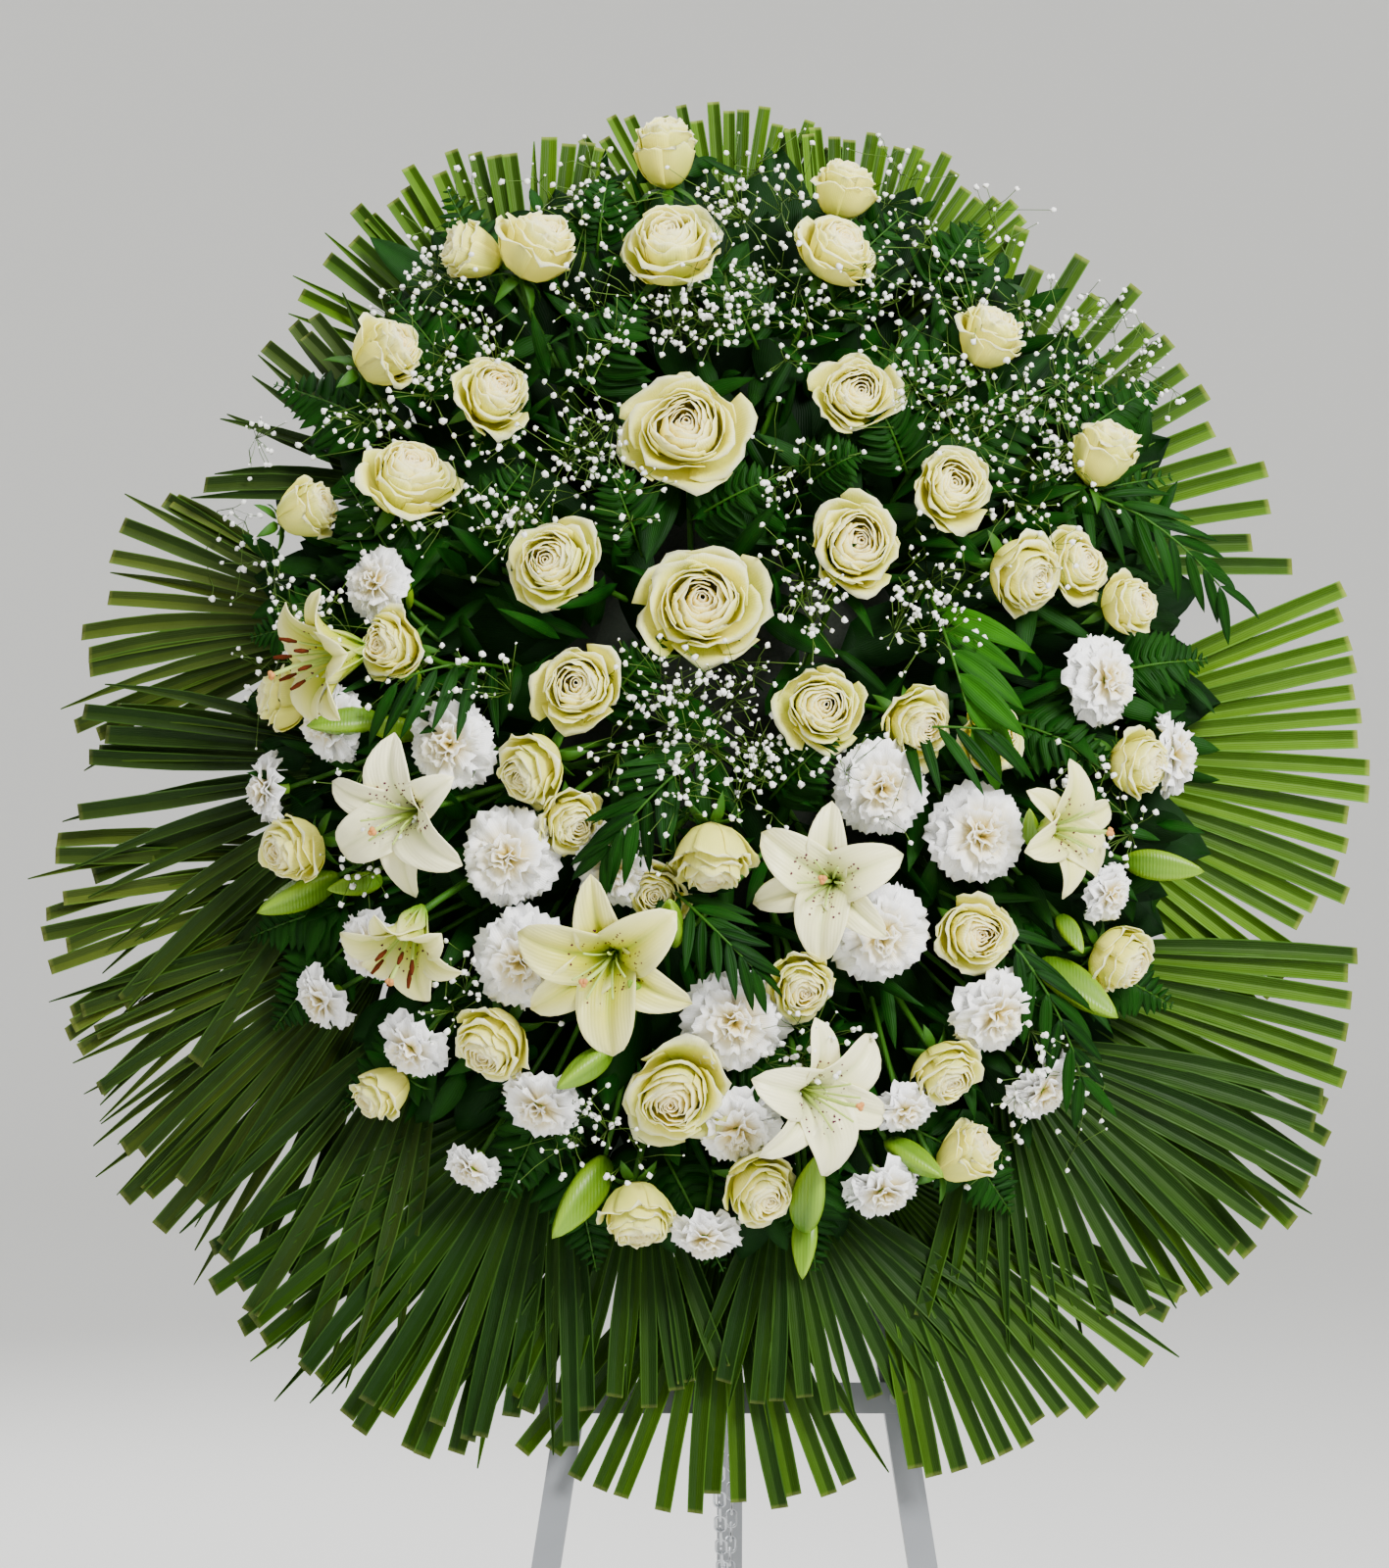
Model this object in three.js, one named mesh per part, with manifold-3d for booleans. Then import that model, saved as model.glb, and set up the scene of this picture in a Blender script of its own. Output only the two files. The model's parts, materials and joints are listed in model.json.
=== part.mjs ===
// A funeral flower spray on its folding tube easel.
// Millimetres, +Z up, the flowers face -Y. The origin is the middle of the underside of the whole object.
import * as THREE from 'three';
import { mergeVertices } from 'three/addons/utils/BufferGeometryUtils.js';
import Module from 'manifold-3d';

const wasm = await Module();
wasm.setup();

// ---------------------------------------------------------------- driving dimensions
const DEG = Math.PI / 180;
const GAP = 0.3; // between faces that touch

// easel
const LEAN = 9 * DEG; // of the front frame, backwards
const TUBE = 25; // square tube of the three legs
const WALL = 1.5;
const APEX = 1620; // along the front frame, where the legs' centre lines meet
const HALF_STANCE = 246; // from the middle to a front foot
const SPREAD = 16 * DEG; // of the rear leg from upright, when open
const HINGE_BACK = 38; // hinge axis behind the front legs' centre plane
const HINGE_UP = 1560; // hinge axis along the front frame
const HEEL = 20; // of the rear leg above its hinge
const SOLE = 8; // rubber under a leg's end
const BOOT = { wide: 38, tall: 46 };
const BAR = { left: -171, right: 160, up: 679, tall: 27, thick: 12 };
const BOLT = { shank: 3.5, head: 7, cap: 4 };
const PLATE = 4; // steel of the top bracket

// what the flowers are fixed to
const BOARD = { halfWide: 205, halfTall: 255, thick: 9 };
const FOAM = { halfWide: 185, halfTall: 235, deep: 120 };
const STRAP = { thick: 3, tall: 32 };
const BOARD_FRONT = -TUBE / 2 - GAP - BOARD.thick; // y of the board's front face in the front frame

// the spray
const MIDDLE = 1290; // height of the dome's middle over the floor
const MID_OUT = 140; // distance of the drawing plane from the board
const EYE = { x: -35, z: 1213, away: 3600 }; // where the drawing of the spray is looked at from
const DOME = { x: -8, halfWide: 430, halfTall: 510, rim: 84, crown: 262, tilt: 68 * DEG };

// ---------------------------------------------------------------- solids
/** A closed geometry as a solid that can be joined and cut. */
function solid(geometry) {
  const bare = new THREE.BufferGeometry();
  bare.setAttribute('position', geometry.getAttribute('position').clone());
  if (geometry.index) bare.setIndex(geometry.index.clone());
  const merged = mergeVertices(bare, 1e-3);
  const index = merged.index.array;
  const kept = [];
  for (let i = 0; i < index.length; i += 3) {
    const [a, b, c] = [index[i], index[i + 1], index[i + 2]];
    if (a !== b && b !== c && c !== a) kept.push(a, b, c);
  }
  return new wasm.Manifold(new wasm.Mesh({
    numProp: 3,
    vertProperties: new Float32Array(merged.getAttribute('position').array),
    triVerts: new Uint32Array(kept),
  }));
}

/** A solid as a geometry again. */
function surface(body) {
  const mesh = body.getMesh();
  const geometry = new THREE.BufferGeometry();
  geometry.setAttribute('position', new THREE.BufferAttribute(new Float32Array(mesh.vertProperties), 3));
  geometry.setIndex(new THREE.BufferAttribute(new Uint32Array(mesh.triVerts), 1));
  return geometry;
}

const joined = (parts) => parts.reduce((whole, part) => whole.add(part));

/** The largest of the separate bodies that a cut left. */
function largest(body) {
  return body.decompose().reduce((best, part) => (part.volume() > best.volume() ? part : best));
}

/** A box by its lowest and highest corners. */
function block(low, high) {
  const size = high.map((v, i) => v - low[i]);
  const middle = high.map((v, i) => (v + low[i]) / 2);
  return new THREE.BoxGeometry(...size).translate(...middle);
}

/** A round rod along x, y or z. */
function rod(axis, radius, from, to, sides = 12) {
  const geometry = new THREE.CylinderGeometry(radius, radius, to - from, sides).translate(0, (from + to) / 2, 0);
  if (axis === 'x') geometry.rotateZ(-Math.PI / 2);
  if (axis === 'z') geometry.rotateX(Math.PI / 2);
  return geometry;
}

/** A rod of a few sides along a curve. */
function wire(curve, radius, sides, steps) {
  const section = new THREE.Shape();
  for (let i = 0; i < sides; i++) {
    const a = (2 * Math.PI * i) / sides;
    if (i) section.lineTo(radius * Math.cos(a), radius * Math.sin(a));
    else section.moveTo(radius, 0);
  }
  return new THREE.ExtrudeGeometry(section, { extrudePath: curve, steps, bevelEnabled: false });
}

/** A turned form about z. */
function turned(profile, sides) {
  const points = profile.map(([r, z]) => new THREE.Vector2(r, z));
  return new THREE.LatheGeometry(points, sides).rotateX(Math.PI / 2);
}

// ---------------------------------------------------------------- materials
const look = (color, roughness, metalness = 0) => new THREE.MeshStandardMaterial({ color, roughness, metalness });
const steel = look('#7d8084', 0.42, 0.8);
const zinc = look('#b4b6b8', 0.35, 0.9);
const rubber = look('#26262a', 0.8);
const plywood = look('#b08a5c', 0.7);
const foamGreen = look('#3f6b3c', 0.95);
const petalCream = look('#f2e8c9', 0.65);
const petalWhite = look('#f3f1f2', 0.7);
const petalLily = look('#f1edd2', 0.55);
const palmGreen = look('#7f9a33', 0.55);
const leafGreen = look('#2f5a2c', 0.45);

const root = new THREE.Group();
const frontFrame = new THREE.Group(); // leans back; x right, y back, z up along the front legs
frontFrame.rotation.x = -LEAN;
root.add(frontFrame);

function add(group, name, geometry, material) {
  const mesh = new THREE.Mesh(geometry, material);
  mesh.name = name;
  group.add(mesh);
  return mesh;
}

// ---------------------------------------------------------------- easel
const SPLAY = Math.atan2(HALF_STANCE, APEX);
const toFrame = new THREE.Matrix4().makeRotationX(LEAN); // from the upright frame to the front frame

/** A square tube of the legs' section along z. */
function tube(length, wall = WALL) {
  const half = TUBE / 2;
  const square = (h) => [[-h, -h], [h, -h], [h, h], [-h, h]].map(([x, y]) => new THREE.Vector2(x, y));
  const section = new THREE.Shape(square(half));
  if (wall) section.holes.push(new THREE.Path(square(half - wall)));
  return new THREE.ExtrudeGeometry(section, { depth: length, bevelEnabled: false });
}

/** A bar a little thicker than a leg, which cuts the socket of its rubber foot. */
function socket(length) {
  const swell = (TUBE + 2 * GAP) / TUBE;
  return tube(length, 0).scale(swell, swell, 1);
}

const underSole = (top) => block([-700, -700, top - 500], [700, 700, top]);
const barPlace = { y: -TUBE / 2 - GAP - BAR.thick, x: (APEX - BAR.up) * Math.tan(SPLAY) };
const boltHole = (x) => rod('y', BOLT.shank + GAP, -60, 60, 8).translate(x, 0, BAR.up);

for (const [side, name] of [[-1, 'left'], [1, 'right']]) {
  const place = (geometry) => geometry.rotateY(-side * SPLAY).translate(side * HALF_STANCE, 0, 0);
  const start = -60;
  const leg = solid(place(tube(APEX - start).translate(0, 0, start)))
    .subtract(solid(underSole(SOLE).applyMatrix4(toFrame)))
    .subtract(solid(block([Math.min(0, -side * 80), -40, 0], [Math.max(0, -side * 80), 40, 1900]).translate(side * GAP, 0, 0)))
    .subtract(solid(block([-90, -40, APEX - 18], [90, 40, 1900])))
    .subtract(solid(boltHole(side * barPlace.x)));
  add(frontFrame, `front_leg_${name}`, surface(leg), steel);

  const foot = solid(new THREE.CylinderGeometry(BOOT.wide * 0.56, BOOT.wide * 0.72, BOOT.tall, 8, 1).rotateY(Math.PI / 8)
    .rotateX(Math.PI / 2).translate(side * (HALF_STANCE - 3), 4, BOOT.tall / 2));
  const bore = solid(place(socket(400).translate(0, 0, start)).applyMatrix4(new THREE.Matrix4().makeRotationX(-LEAN)))
    .subtract(solid(underSole(SOLE - GAP)));
  add(root, `foot_front_${name}`, surface(foot.subtract(bore)), rubber);

  const shank = rod('y', BOLT.shank, barPlace.y - BOLT.cap + 1, TUBE / 2 + 5, 8);
  const cap = rod('y', BOLT.head, barPlace.y - GAP - BOLT.cap, barPlace.y - GAP, 10);
  const nut = rod('y', BOLT.head - 0.5, TUBE / 2 + GAP, TUBE / 2 + 6, 6);
  add(frontFrame, `crossbar_bolt_${name}`, surface(joined([shank, cap, nut].map(solid))), zinc)
    .position.set(side * barPlace.x, 0, BAR.up);
}

const bar = solid(block([BAR.left, barPlace.y, BAR.up - BAR.tall / 2], [BAR.right, -TUBE / 2 - GAP, BAR.up + BAR.tall / 2]))
  .subtract(solid(boltHole(-barPlace.x)))
  .subtract(solid(boltHole(barPlace.x)));
add(frontFrame, 'crossbar', surface(bar), steel);

// top bracket: a plate behind the two front legs with an ear on each side of the rear leg
const earInside = TUBE / 2 + 1;
const plateBack = TUBE / 2 + GAP + PLATE;
const earEnd = HINGE_BACK + 16;
const bracketHalf = 42;
const bracketShape = new THREE.Shape([
  [-bracketHalf, TUBE / 2 + GAP], [bracketHalf, TUBE / 2 + GAP], [bracketHalf, plateBack],
  [earInside + PLATE, plateBack], [earInside + PLATE, earEnd], [earInside, earEnd], [earInside, plateBack],
  [-earInside, plateBack], [-earInside, earEnd], [-earInside - PLATE, earEnd], [-earInside - PLATE, plateBack],
  [-bracketHalf, plateBack],
].map(([x, y]) => new THREE.Vector2(x, y)));
const bracket = solid(new THREE.ExtrudeGeometry(bracketShape, { depth: 76, bevelEnabled: false }).translate(0, 0, HINGE_UP - 42))
  .subtract(solid(rod('x', 4.5, -80, 80, 12).translate(0, HINGE_BACK, HINGE_UP)));
add(frontFrame, 'top_bracket', surface(bracket), steel);

const earOut = earInside + PLATE;
const pin = joined([
  rod('x', 4, -earOut - 4, earOut + 4, 12),
  rod('x', 7, -earOut - 5, -earOut - GAP, 6),
  rod('x', 7, earOut + GAP, earOut + 5, 6),
].map(solid));
add(frontFrame, 'hinge_pin', surface(pin), zinc).position.set(0, HINGE_BACK, HINGE_UP);

// rear leg, in a frame at the hinge whose z runs up along the leg
const hinge = new THREE.Vector3(0, HINGE_BACK, HINGE_UP).applyAxisAngle(new THREE.Vector3(1, 0, 0), -LEAN);
const rearLength = hinge.z / Math.cos(SPREAD);
const rearFrame = new THREE.Group();
rearFrame.position.copy(hinge);
rearFrame.rotation.x = SPREAD;
root.add(rearFrame);
const toRear = new THREE.Matrix4().makeRotationX(-SPREAD)
  .multiply(new THREE.Matrix4().makeTranslation(0, -hinge.y, -hinge.z));
const fromRear = toRear.clone().invert();

const rearLeg = solid(tube(rearLength + HEEL + 40).translate(0, 0, -rearLength - 40))
  .subtract(solid(underSole(SOLE).translate(0, 700, 0).applyMatrix4(toRear)))
  .subtract(solid(rod('x', 4.5, -80, 80, 12)));
add(rearFrame, 'rear_leg', surface(rearLeg), steel);

const rearSoleY = hinge.y + hinge.z * Math.tan(SPREAD);
const rearFoot = solid(new THREE.CylinderGeometry(BOOT.wide * 0.56, BOOT.wide * 0.72, BOOT.tall, 8, 1).rotateY(Math.PI / 8)
  .rotateX(Math.PI / 2).translate(0, rearSoleY - 4, BOOT.tall / 2))
  .subtract(solid(socket(400).translate(0, 0, -rearLength - 60).applyMatrix4(fromRear))
    .subtract(solid(underSole(SOLE - GAP).translate(0, 700, 0))));
add(root, 'foot_rear', surface(rearFoot), rubber);

// slack chain from the crossbar to the rear leg, on an eye at each end
const EYE_RING = { radius: 6, wire: 1.6, drop: 9 };
function eye() {
  const ring = new THREE.TorusGeometry(EYE_RING.radius, EYE_RING.wire, 5, 8).rotateY(Math.PI / 2).translate(0, EYE_RING.drop, 0);
  return surface(solid(ring).add(solid(rod('y', 2.2, 0, EYE_RING.drop - EYE_RING.radius + 1, 6))));
}
const frontEye = new THREE.Vector3(-15, -TUBE / 2, BAR.up - BAR.tall / 2 + 6);
add(frontFrame, 'chain_eye_front', eye(), zinc).position.copy(frontEye);
const rearEyeDown = 905; // along the rear leg from its hinge
const rearEye = add(rearFrame, 'chain_eye_rear', eye(), zinc);
rearEye.position.set(5, -TUBE / 2 - GAP, -rearEyeDown);
rearEye.rotation.z = Math.PI;

const ringFront = frontEye.clone().add(new THREE.Vector3(0, EYE_RING.drop, 0))
  .applyAxisAngle(new THREE.Vector3(1, 0, 0), -LEAN);
const ringRear = new THREE.Vector3(5, -TUBE / 2 - GAP - EYE_RING.drop, -rearEyeDown).applyMatrix4(fromRear);
const CHAIN = { sag: 205, thick: 2.6, steps: 14 };

/** The chain's hanging curve: an even parabola below the line from eye to eye. */
class Hanging extends THREE.Curve {
  getPoint(t) {
    const point = ringFront.clone().lerp(ringRear, t);
    point.z -= EYE_RING.radius + EYE_RING.wire + CHAIN.thick + 4 * CHAIN.sag * t * (1 - t);
    return point;
  }
}
add(root, 'chain', wire(new Hanging(), CHAIN.thick, 5, CHAIN.steps), zinc);

// ---------------------------------------------------------------- board, straps and foam
const domeUp = MIDDLE / Math.cos(LEAN) - MID_OUT * Math.tan(LEAN); // of the dome's middle, along the front frame
const oval = new THREE.Shape();
oval.absellipse(0, 0, BOARD.halfWide, BOARD.halfTall, 0, 2 * Math.PI);
const board = new THREE.ExtrudeGeometry(oval, { depth: BOARD.thick, bevelEnabled: false, curveSegments: 32 })
  .rotateX(Math.PI / 2).translate(0, BOARD_FRONT + BOARD.thick, domeUp);
add(frontFrame, 'back_board', board, plywood);

/** A strap behind both legs at one height, bent forward to the board on each side. */
function strap(up) {
  const legX = (APEX - up) * Math.tan(SPLAY);
  const inside = legX + TUBE * 0.62 + 3;
  const back = TUBE / 2 + GAP;
  const front = -TUBE / 2;
  const outside = inside + STRAP.thick;
  const lip = outside + 22;
  const shape = new THREE.Shape([
    [-lip, front], [-inside, front], [-inside, back], [inside, back], [inside, front], [lip, front],
    [lip, front + STRAP.thick], [outside, front + STRAP.thick], [outside, back + STRAP.thick],
    [-outside, back + STRAP.thick], [-outside, front + STRAP.thick], [-lip, front + STRAP.thick],
  ].map(([x, y]) => new THREE.Vector2(x, y)));
  return new THREE.ExtrudeGeometry(shape, { depth: STRAP.tall, bevelEnabled: false }).translate(0, 0, up - STRAP.tall / 2);
}
add(frontFrame, 'upper_strap', strap(domeUp + 150), zinc);
add(frontFrame, 'lower_strap', strap(domeUp - 150), zinc);

/** The foam mound: half an ellipsoid on the board, swollen a little where it is used to cut. */
function mound(swell = 0) {
  const rings = 6;
  const profile = [[0, 0]];
  for (let i = 0; i <= rings; i++) profile.push([Math.cos((i / rings) * 90 * DEG), Math.sin((i / rings) * 90 * DEG)]);
  profile[profile.length - 1][0] = 0;
  return turned(profile, 24).scale(FOAM.halfWide + swell, FOAM.halfTall + swell, FOAM.deep + swell)
    .rotateX(Math.PI / 2).translate(0, BOARD_FRONT - GAP, domeUp);
}
add(frontFrame, 'foam_block', surface(solid(mound())), foamGreen);
const moundCutter = solid(mound(GAP));

// ---------------------------------------------------------------- places in the spray
/** The point in the front frame that is seen at x, z on the upright drawing, at a distance out from the board. */
function seen(x, z, out) {
  const y = BOARD_FRONT - out;
  const depth = y * Math.cos(LEAN) + (domeUp + z) * Math.sin(LEAN);
  const middleDepth = (BOARD_FRONT - MID_OUT) * Math.cos(LEAN) + domeUp * Math.sin(LEAN);
  const scale = 1 + (depth - middleDepth) / EYE.away;
  const height = EYE.z + (MIDDLE + z - EYE.z) * scale;
  return new THREE.Vector3(EYE.x + (x - EYE.x) * scale, y, (height + y * Math.sin(LEAN)) / Math.cos(LEAN));
}

/** A flower head: its centre and the way it faces, from its place on the drawing. */
function head([x, z, size, turn = {}]) {
  const across = (x - DOME.x) / DOME.halfWide;
  const along = z / DOME.halfTall;
  const reach = Math.min(1, Math.hypot(across, along));
  const out = DOME.rim + (DOME.crown - DOME.rim) * Math.sqrt(1 - reach * reach) + (turn.push ?? 0);
  const tilt = turn.tilt === undefined ? DOME.tilt * reach ** 1.3 : turn.tilt * DEG;
  const heading = turn.to === undefined ? Math.atan2(along, across) : turn.to * DEG;
  const facing = new THREE.Vector3(
    Math.sin(tilt) * Math.cos(heading), -Math.cos(tilt), Math.sin(tilt) * Math.sin(heading));
  return { centre: seen(x, z, out), facing, radius: size / 2 };
}

const PEG = { radius: 5, above: 9, below: 12 };

/** Where stems meet over the foam, on the ray from the middle of the foam's back to a place. */
function onFoam(place) {
  const middle = new THREE.Vector3(0, BOARD_FRONT, domeUp);
  const ray = place.clone().sub(middle);
  const k = Math.hypot(ray.x / FOAM.halfWide, ray.z / FOAM.halfTall, ray.y / FOAM.deep);
  return middle.addScaledVector(ray, 1 / k).addScaledVector(ray.normalize(), PEG.above);
}

/** The short thick peg that carries a bunch of stems, pushed into the foam from their foot. */
function peg(foot) {
  const ray = foot.clone().sub(new THREE.Vector3(0, BOARD_FRONT, domeUp)).normalize();
  const line = new THREE.LineCurve3(foot.clone().addScaledVector(ray, 2), foot.clone().addScaledVector(ray, -PEG.above - PEG.below));
  return solid(wire(line, PEG.radius, 6, 1));
}

/** Heads are pressed together, so each pair shares the room between them. */
function pressTogether(heads) {
  for (const a of heads) {
    for (const b of heads) {
      const room = a.centre.distanceTo(b.centre) - 2 * GAP;
      if (a === b || a.radius + b.radius <= room) continue;
      const shrink = room / (a.radius + b.radius);
      a.radius *= shrink;
      b.radius *= shrink;
    }
  }
}

/** A form made about z, carried to a head. */
function carried(geometry, { centre, facing }) {
  const turn = new THREE.Quaternion().setFromUnitVectors(new THREE.Vector3(0, 0, 1), facing);
  return geometry.applyQuaternion(turn).translate(centre.x, centre.y, centre.z);
}

/** A stem from the foot on the foam up into the back of a head. */
function stem(foot, flower, radius, back) {
  const top = flower.centre.clone().addScaledVector(flower.facing, -back);
  const bend = top.clone().addScaledVector(flower.facing, -back * 0.7).lerp(foot, 0.25);
  return solid(wire(new THREE.QuadraticBezierCurve3(foot, bend, top), radius, 4, 2));
}

// ---------------------------------------------------------------- roses
// [x, z, size, { push out, tilt from the viewer, heading: 0 right, 90 up }] on the drawing, about the dome's middle
const ROSES = {
  top: [[-60, 472, 68], [-57, 393, 88], [89, 387, 72], [95, 440, 64]],
  top_left: [[-229, 384, 66, { tilt: 75, to: 165 }], [-172, 391, 76], [-210, 262, 77]],
  upper_left: [[-302, 298, 72], [-282, 190, 85], [-371, 160, 62, { tilt: 75, to: 175 }]],
  upper_right: [[105, 262, 75, { tilt: 12, to: 60 }], [221, 312, 68], [320, 210, 68], [189, 181, 78, { tilt: 18, to: 45 }]],
  upper_middle: [[-44, 230, 102, { tilt: 10, to: 110 }], [-157, 116, 83], [-28, 78, 102, { tilt: 5, to: 90 }]],
  middle: [[104, 130, 94, { tilt: 8, to: 70 }], [75, -11, 81], [159, -26, 72, { tilt: 35, to: -30 }]],
  right: [[252, 105, 80, { tilt: 45, to: -30 }], [298, 115, 66, { push: -12 }], [342, 79, 64]],
  middle_left: [[-136, 7, 85], [-177, -65, 75, { tilt: 50, to: 215 }], [-142, -109, 64, { push: -14, tilt: 35, to: -45 }]],
  left: [[-299, 43, 68], [-395, -4, 64, { tilt: 80, to: 180 }], [-384, -134, 68]],
  right_side: [[223, -36, 64, { push: -10 }], [351, -60, 68], [207, -207, 75, { tilt: 15, to: -20 }], [336, -231, 72]],
  lower_middle: [[-20, -142, 80, { push: 6, tilt: 72, to: -90 }], [-66, -172, 60, { push: -28 }], [58, -251, 65]],
  lower_right: [[184, -327, 68], [200, -398, 64]],
  bottom: [[-51, -347, 89, { tilt: 22, to: -100 }], [-85, -451, 68], [23, -429, 68]],
  bottom_left: [[-211, -303, 77], [-306, -344, 56]],
};

// ---------------------------------------------------------------- carnations
const CARNATIONS = {
  left: [[-316, 98, 60, { push: -10 }], [-357, -26, 66], [-412, -81, 55, { tilt: 80, to: 180 }]],
  middle_left: [[-251, -43, 72], [-199, -141, 78, { tilt: 15, to: 190 }], [-106, -149, 64, { push: -14 }]],
  lower_left: [[-187, -234, 81, { tilt: 20, to: 230 }], [-322, -222, 62, { push: -14 }], [-363, -268, 56], [-285, -310, 60]],
  bottom_left: [[-172, -361, 64], [-231, -415, 48]],
  bottom: [[0, -286, 82, { tilt: 12, to: -90 }], [2, -382, 70, { push: -10 }], [-26, -476, 56], [130, -435, 62]],
  middle_right: [[129, -81, 77], [129, -210, 81], [215, -122, 81, { tilt: 15, to: 0 }]],
  right: [[327, 13, 72], [387, -51, 66, { tilt: 78, to: 5 }], [329, -174, 50]],
  lower_right: [[231, -280, 72], [272, -347, 62], [149, -364, 50]],
};

// ---------------------------------------------------------------- lilies
// each stem: its open flower, and a bud as [x, z, length, tilt, heading, out]
const LILIES = [
  { flower: [-361, 30, 119, { push: 30, tilt: 62, to: 185 }], bud: [-343, -24, 60, 70, 185, 118] },
  { flower: [-291, -106, 128, { push: 34, tilt: 38, to: 200 }], bud: [-378, -172, 74, 75, 205, 128] },
  { flower: [-287, -219, 86, { push: 36, tilt: 70, to: 262 }], bud: [-329, -164, 50, 60, 190, 150] },
  { flower: [-112, -234, 149, { push: 26, tilt: 18, to: 235 }], bud: [-134, -435, 84, 62, 235, 150] },
  { flower: [79, -162, 128, { push: 16, tilt: 12, to: 180 }], bud: [-55, -197, 58, 40, 95, 262] },
  { flower: [75, -349, 132, { push: 26, tilt: 35, to: -20 }], bud: [66, -432, 76, 60, 80, 170] },
  { flower: [285, -119, 100, { push: 30, tilt: 52, to: 5 }], bud: [371, -148, 66, 80, -8, 130] },
];

const heads = { rose: {}, carnation: {} };
for (const [name, list] of Object.entries(ROSES)) heads.rose[name] = list.map(head);
for (const [name, list] of Object.entries(CARNATIONS)) heads.carnation[name] = list.map(head);
const everyHead = [...Object.values(heads.rose), ...Object.values(heads.carnation)].flat();
pressTogether(everyHead);

/** A half-open rose: a round cup with a hollowed top. */
function rose(flower) {
  const r = flower.radius;
  const profile = [[0, -0.9], [0.5, -0.78], [0.86, -0.3], [0.93, 0.25], [0.66, 0.66], [0, 0.5]];
  return solid(carried(turned(profile.map(([a, b]) => [a * r, b * r]), 8), flower));
}

/** A carnation: a shallow ruffled dome on a slim green cup. */
function carnation(flower) {
  const r = flower.radius;
  const profile = [[0, -0.92], [0.3, -0.84], [0.34, -0.42], [0.93, -0.1], [0.8, 0.4], [0, 0.7]];
  return solid(carried(turned(profile.map(([a, b]) => [a * r, b * r]), 8), flower));
}

// how far a bunch's foot is set aside, so that its stems pass clear of the bunch beside it
const FOOT_SHIFTS = { rose: [0, 0, 0], carnation: [0, 20, -16], carnation_left: [20, 20, 44] };

const kinds = [
  ['rose', heads.rose, rose, petalCream],
  ['carnation', heads.carnation, carnation, petalWhite],
];
for (const [kind, groups, make, material] of kinds) {
  for (const [name, flowers] of Object.entries(groups)) {
    const middle = flowers.reduce((sum, f) => sum.add(f.centre), new THREE.Vector3()).divideScalar(flowers.length);
    const shift = FOOT_SHIFTS[`${kind}_${name}`] ?? FOOT_SHIFTS[kind];
    const foot = onFoam(middle.add(new THREE.Vector3(...shift)));
    const parts = [peg(foot), ...flowers.flatMap((f) => [make(f), stem(foot, f, 3, f.radius * 0.8)])];
    add(frontFrame, `${kind}_cluster_${name}`, surface(largest(joined(parts).subtract(moundCutter))), material);
  }
}

/** An open lily: a thin funnel about z whose rim runs out into six tepals. */
function lily(size) {
  const reach = size / 2;
  const inside = [[0.34, 0.32], [0.72, 0.42], [1, 0.3]];
  const profile = [[0, -0.42], [0.13, -0.36], [0.3, 0.22], [0.72, 0.34], [1, 0.24], ...inside.reverse(), [0.09, -0.2], [0, -0.26]];
  const geometry = turned(profile.map(([a, b]) => [a * reach, b * reach]), 18);
  const p = geometry.getAttribute('position');
  for (let i = 0; i < p.count; i++) {
    const r = Math.hypot(p.getX(i), p.getY(i)) / reach;
    const lobe = 0.5 + 0.5 * Math.cos(6 * Math.atan2(p.getY(i), p.getX(i)));
    const pull = 1 - 0.42 * Math.max(0, r - 0.3) * (1 - lobe) / 0.7;
    p.setXY(i, p.getX(i) * pull, p.getY(i) * pull);
  }
  return geometry;
}

/** A closed bud about z. */
const bud = (length) => turned([[0, -0.5], [0.1, -0.42], [0.17, 0.05], [0.12, 0.36], [0, 0.5]]
  .map(([a, b]) => [a * length, b * length]), 6);

LILIES.forEach(({ flower, bud: [x, z, length, tilt, to, out] }, i) => {
  const open = head(flower);
  const closed = head([x, z, length, { tilt, to }]);
  closed.centre = seen(x, z, out);
  const foot = onFoam(open.centre);
  const fork = foot.clone().lerp(open.centre, 0.35);
  const parts = [
    peg(foot),
    solid(carried(lily(flower[2]), open)),
    stem(foot, open, 3.2, open.radius * 0.36),
    solid(carried(bud(length), closed)),
    stem(fork, closed, 2.4, length * 0.46),
  ];
  const near = everyHead.filter((h) => h.centre.distanceTo(open.centre) < 150);
  const room = near.map((h) => solid(new THREE.SphereGeometry(h.radius + GAP, 10, 8).translate(...h.centre.toArray())));
  const whole = joined(parts).subtract(joined(room)).subtract(moundCutter);
  add(frontFrame, `lily_stem_${i + 1}`, surface(largest(whole)), petalLily);
});

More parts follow.
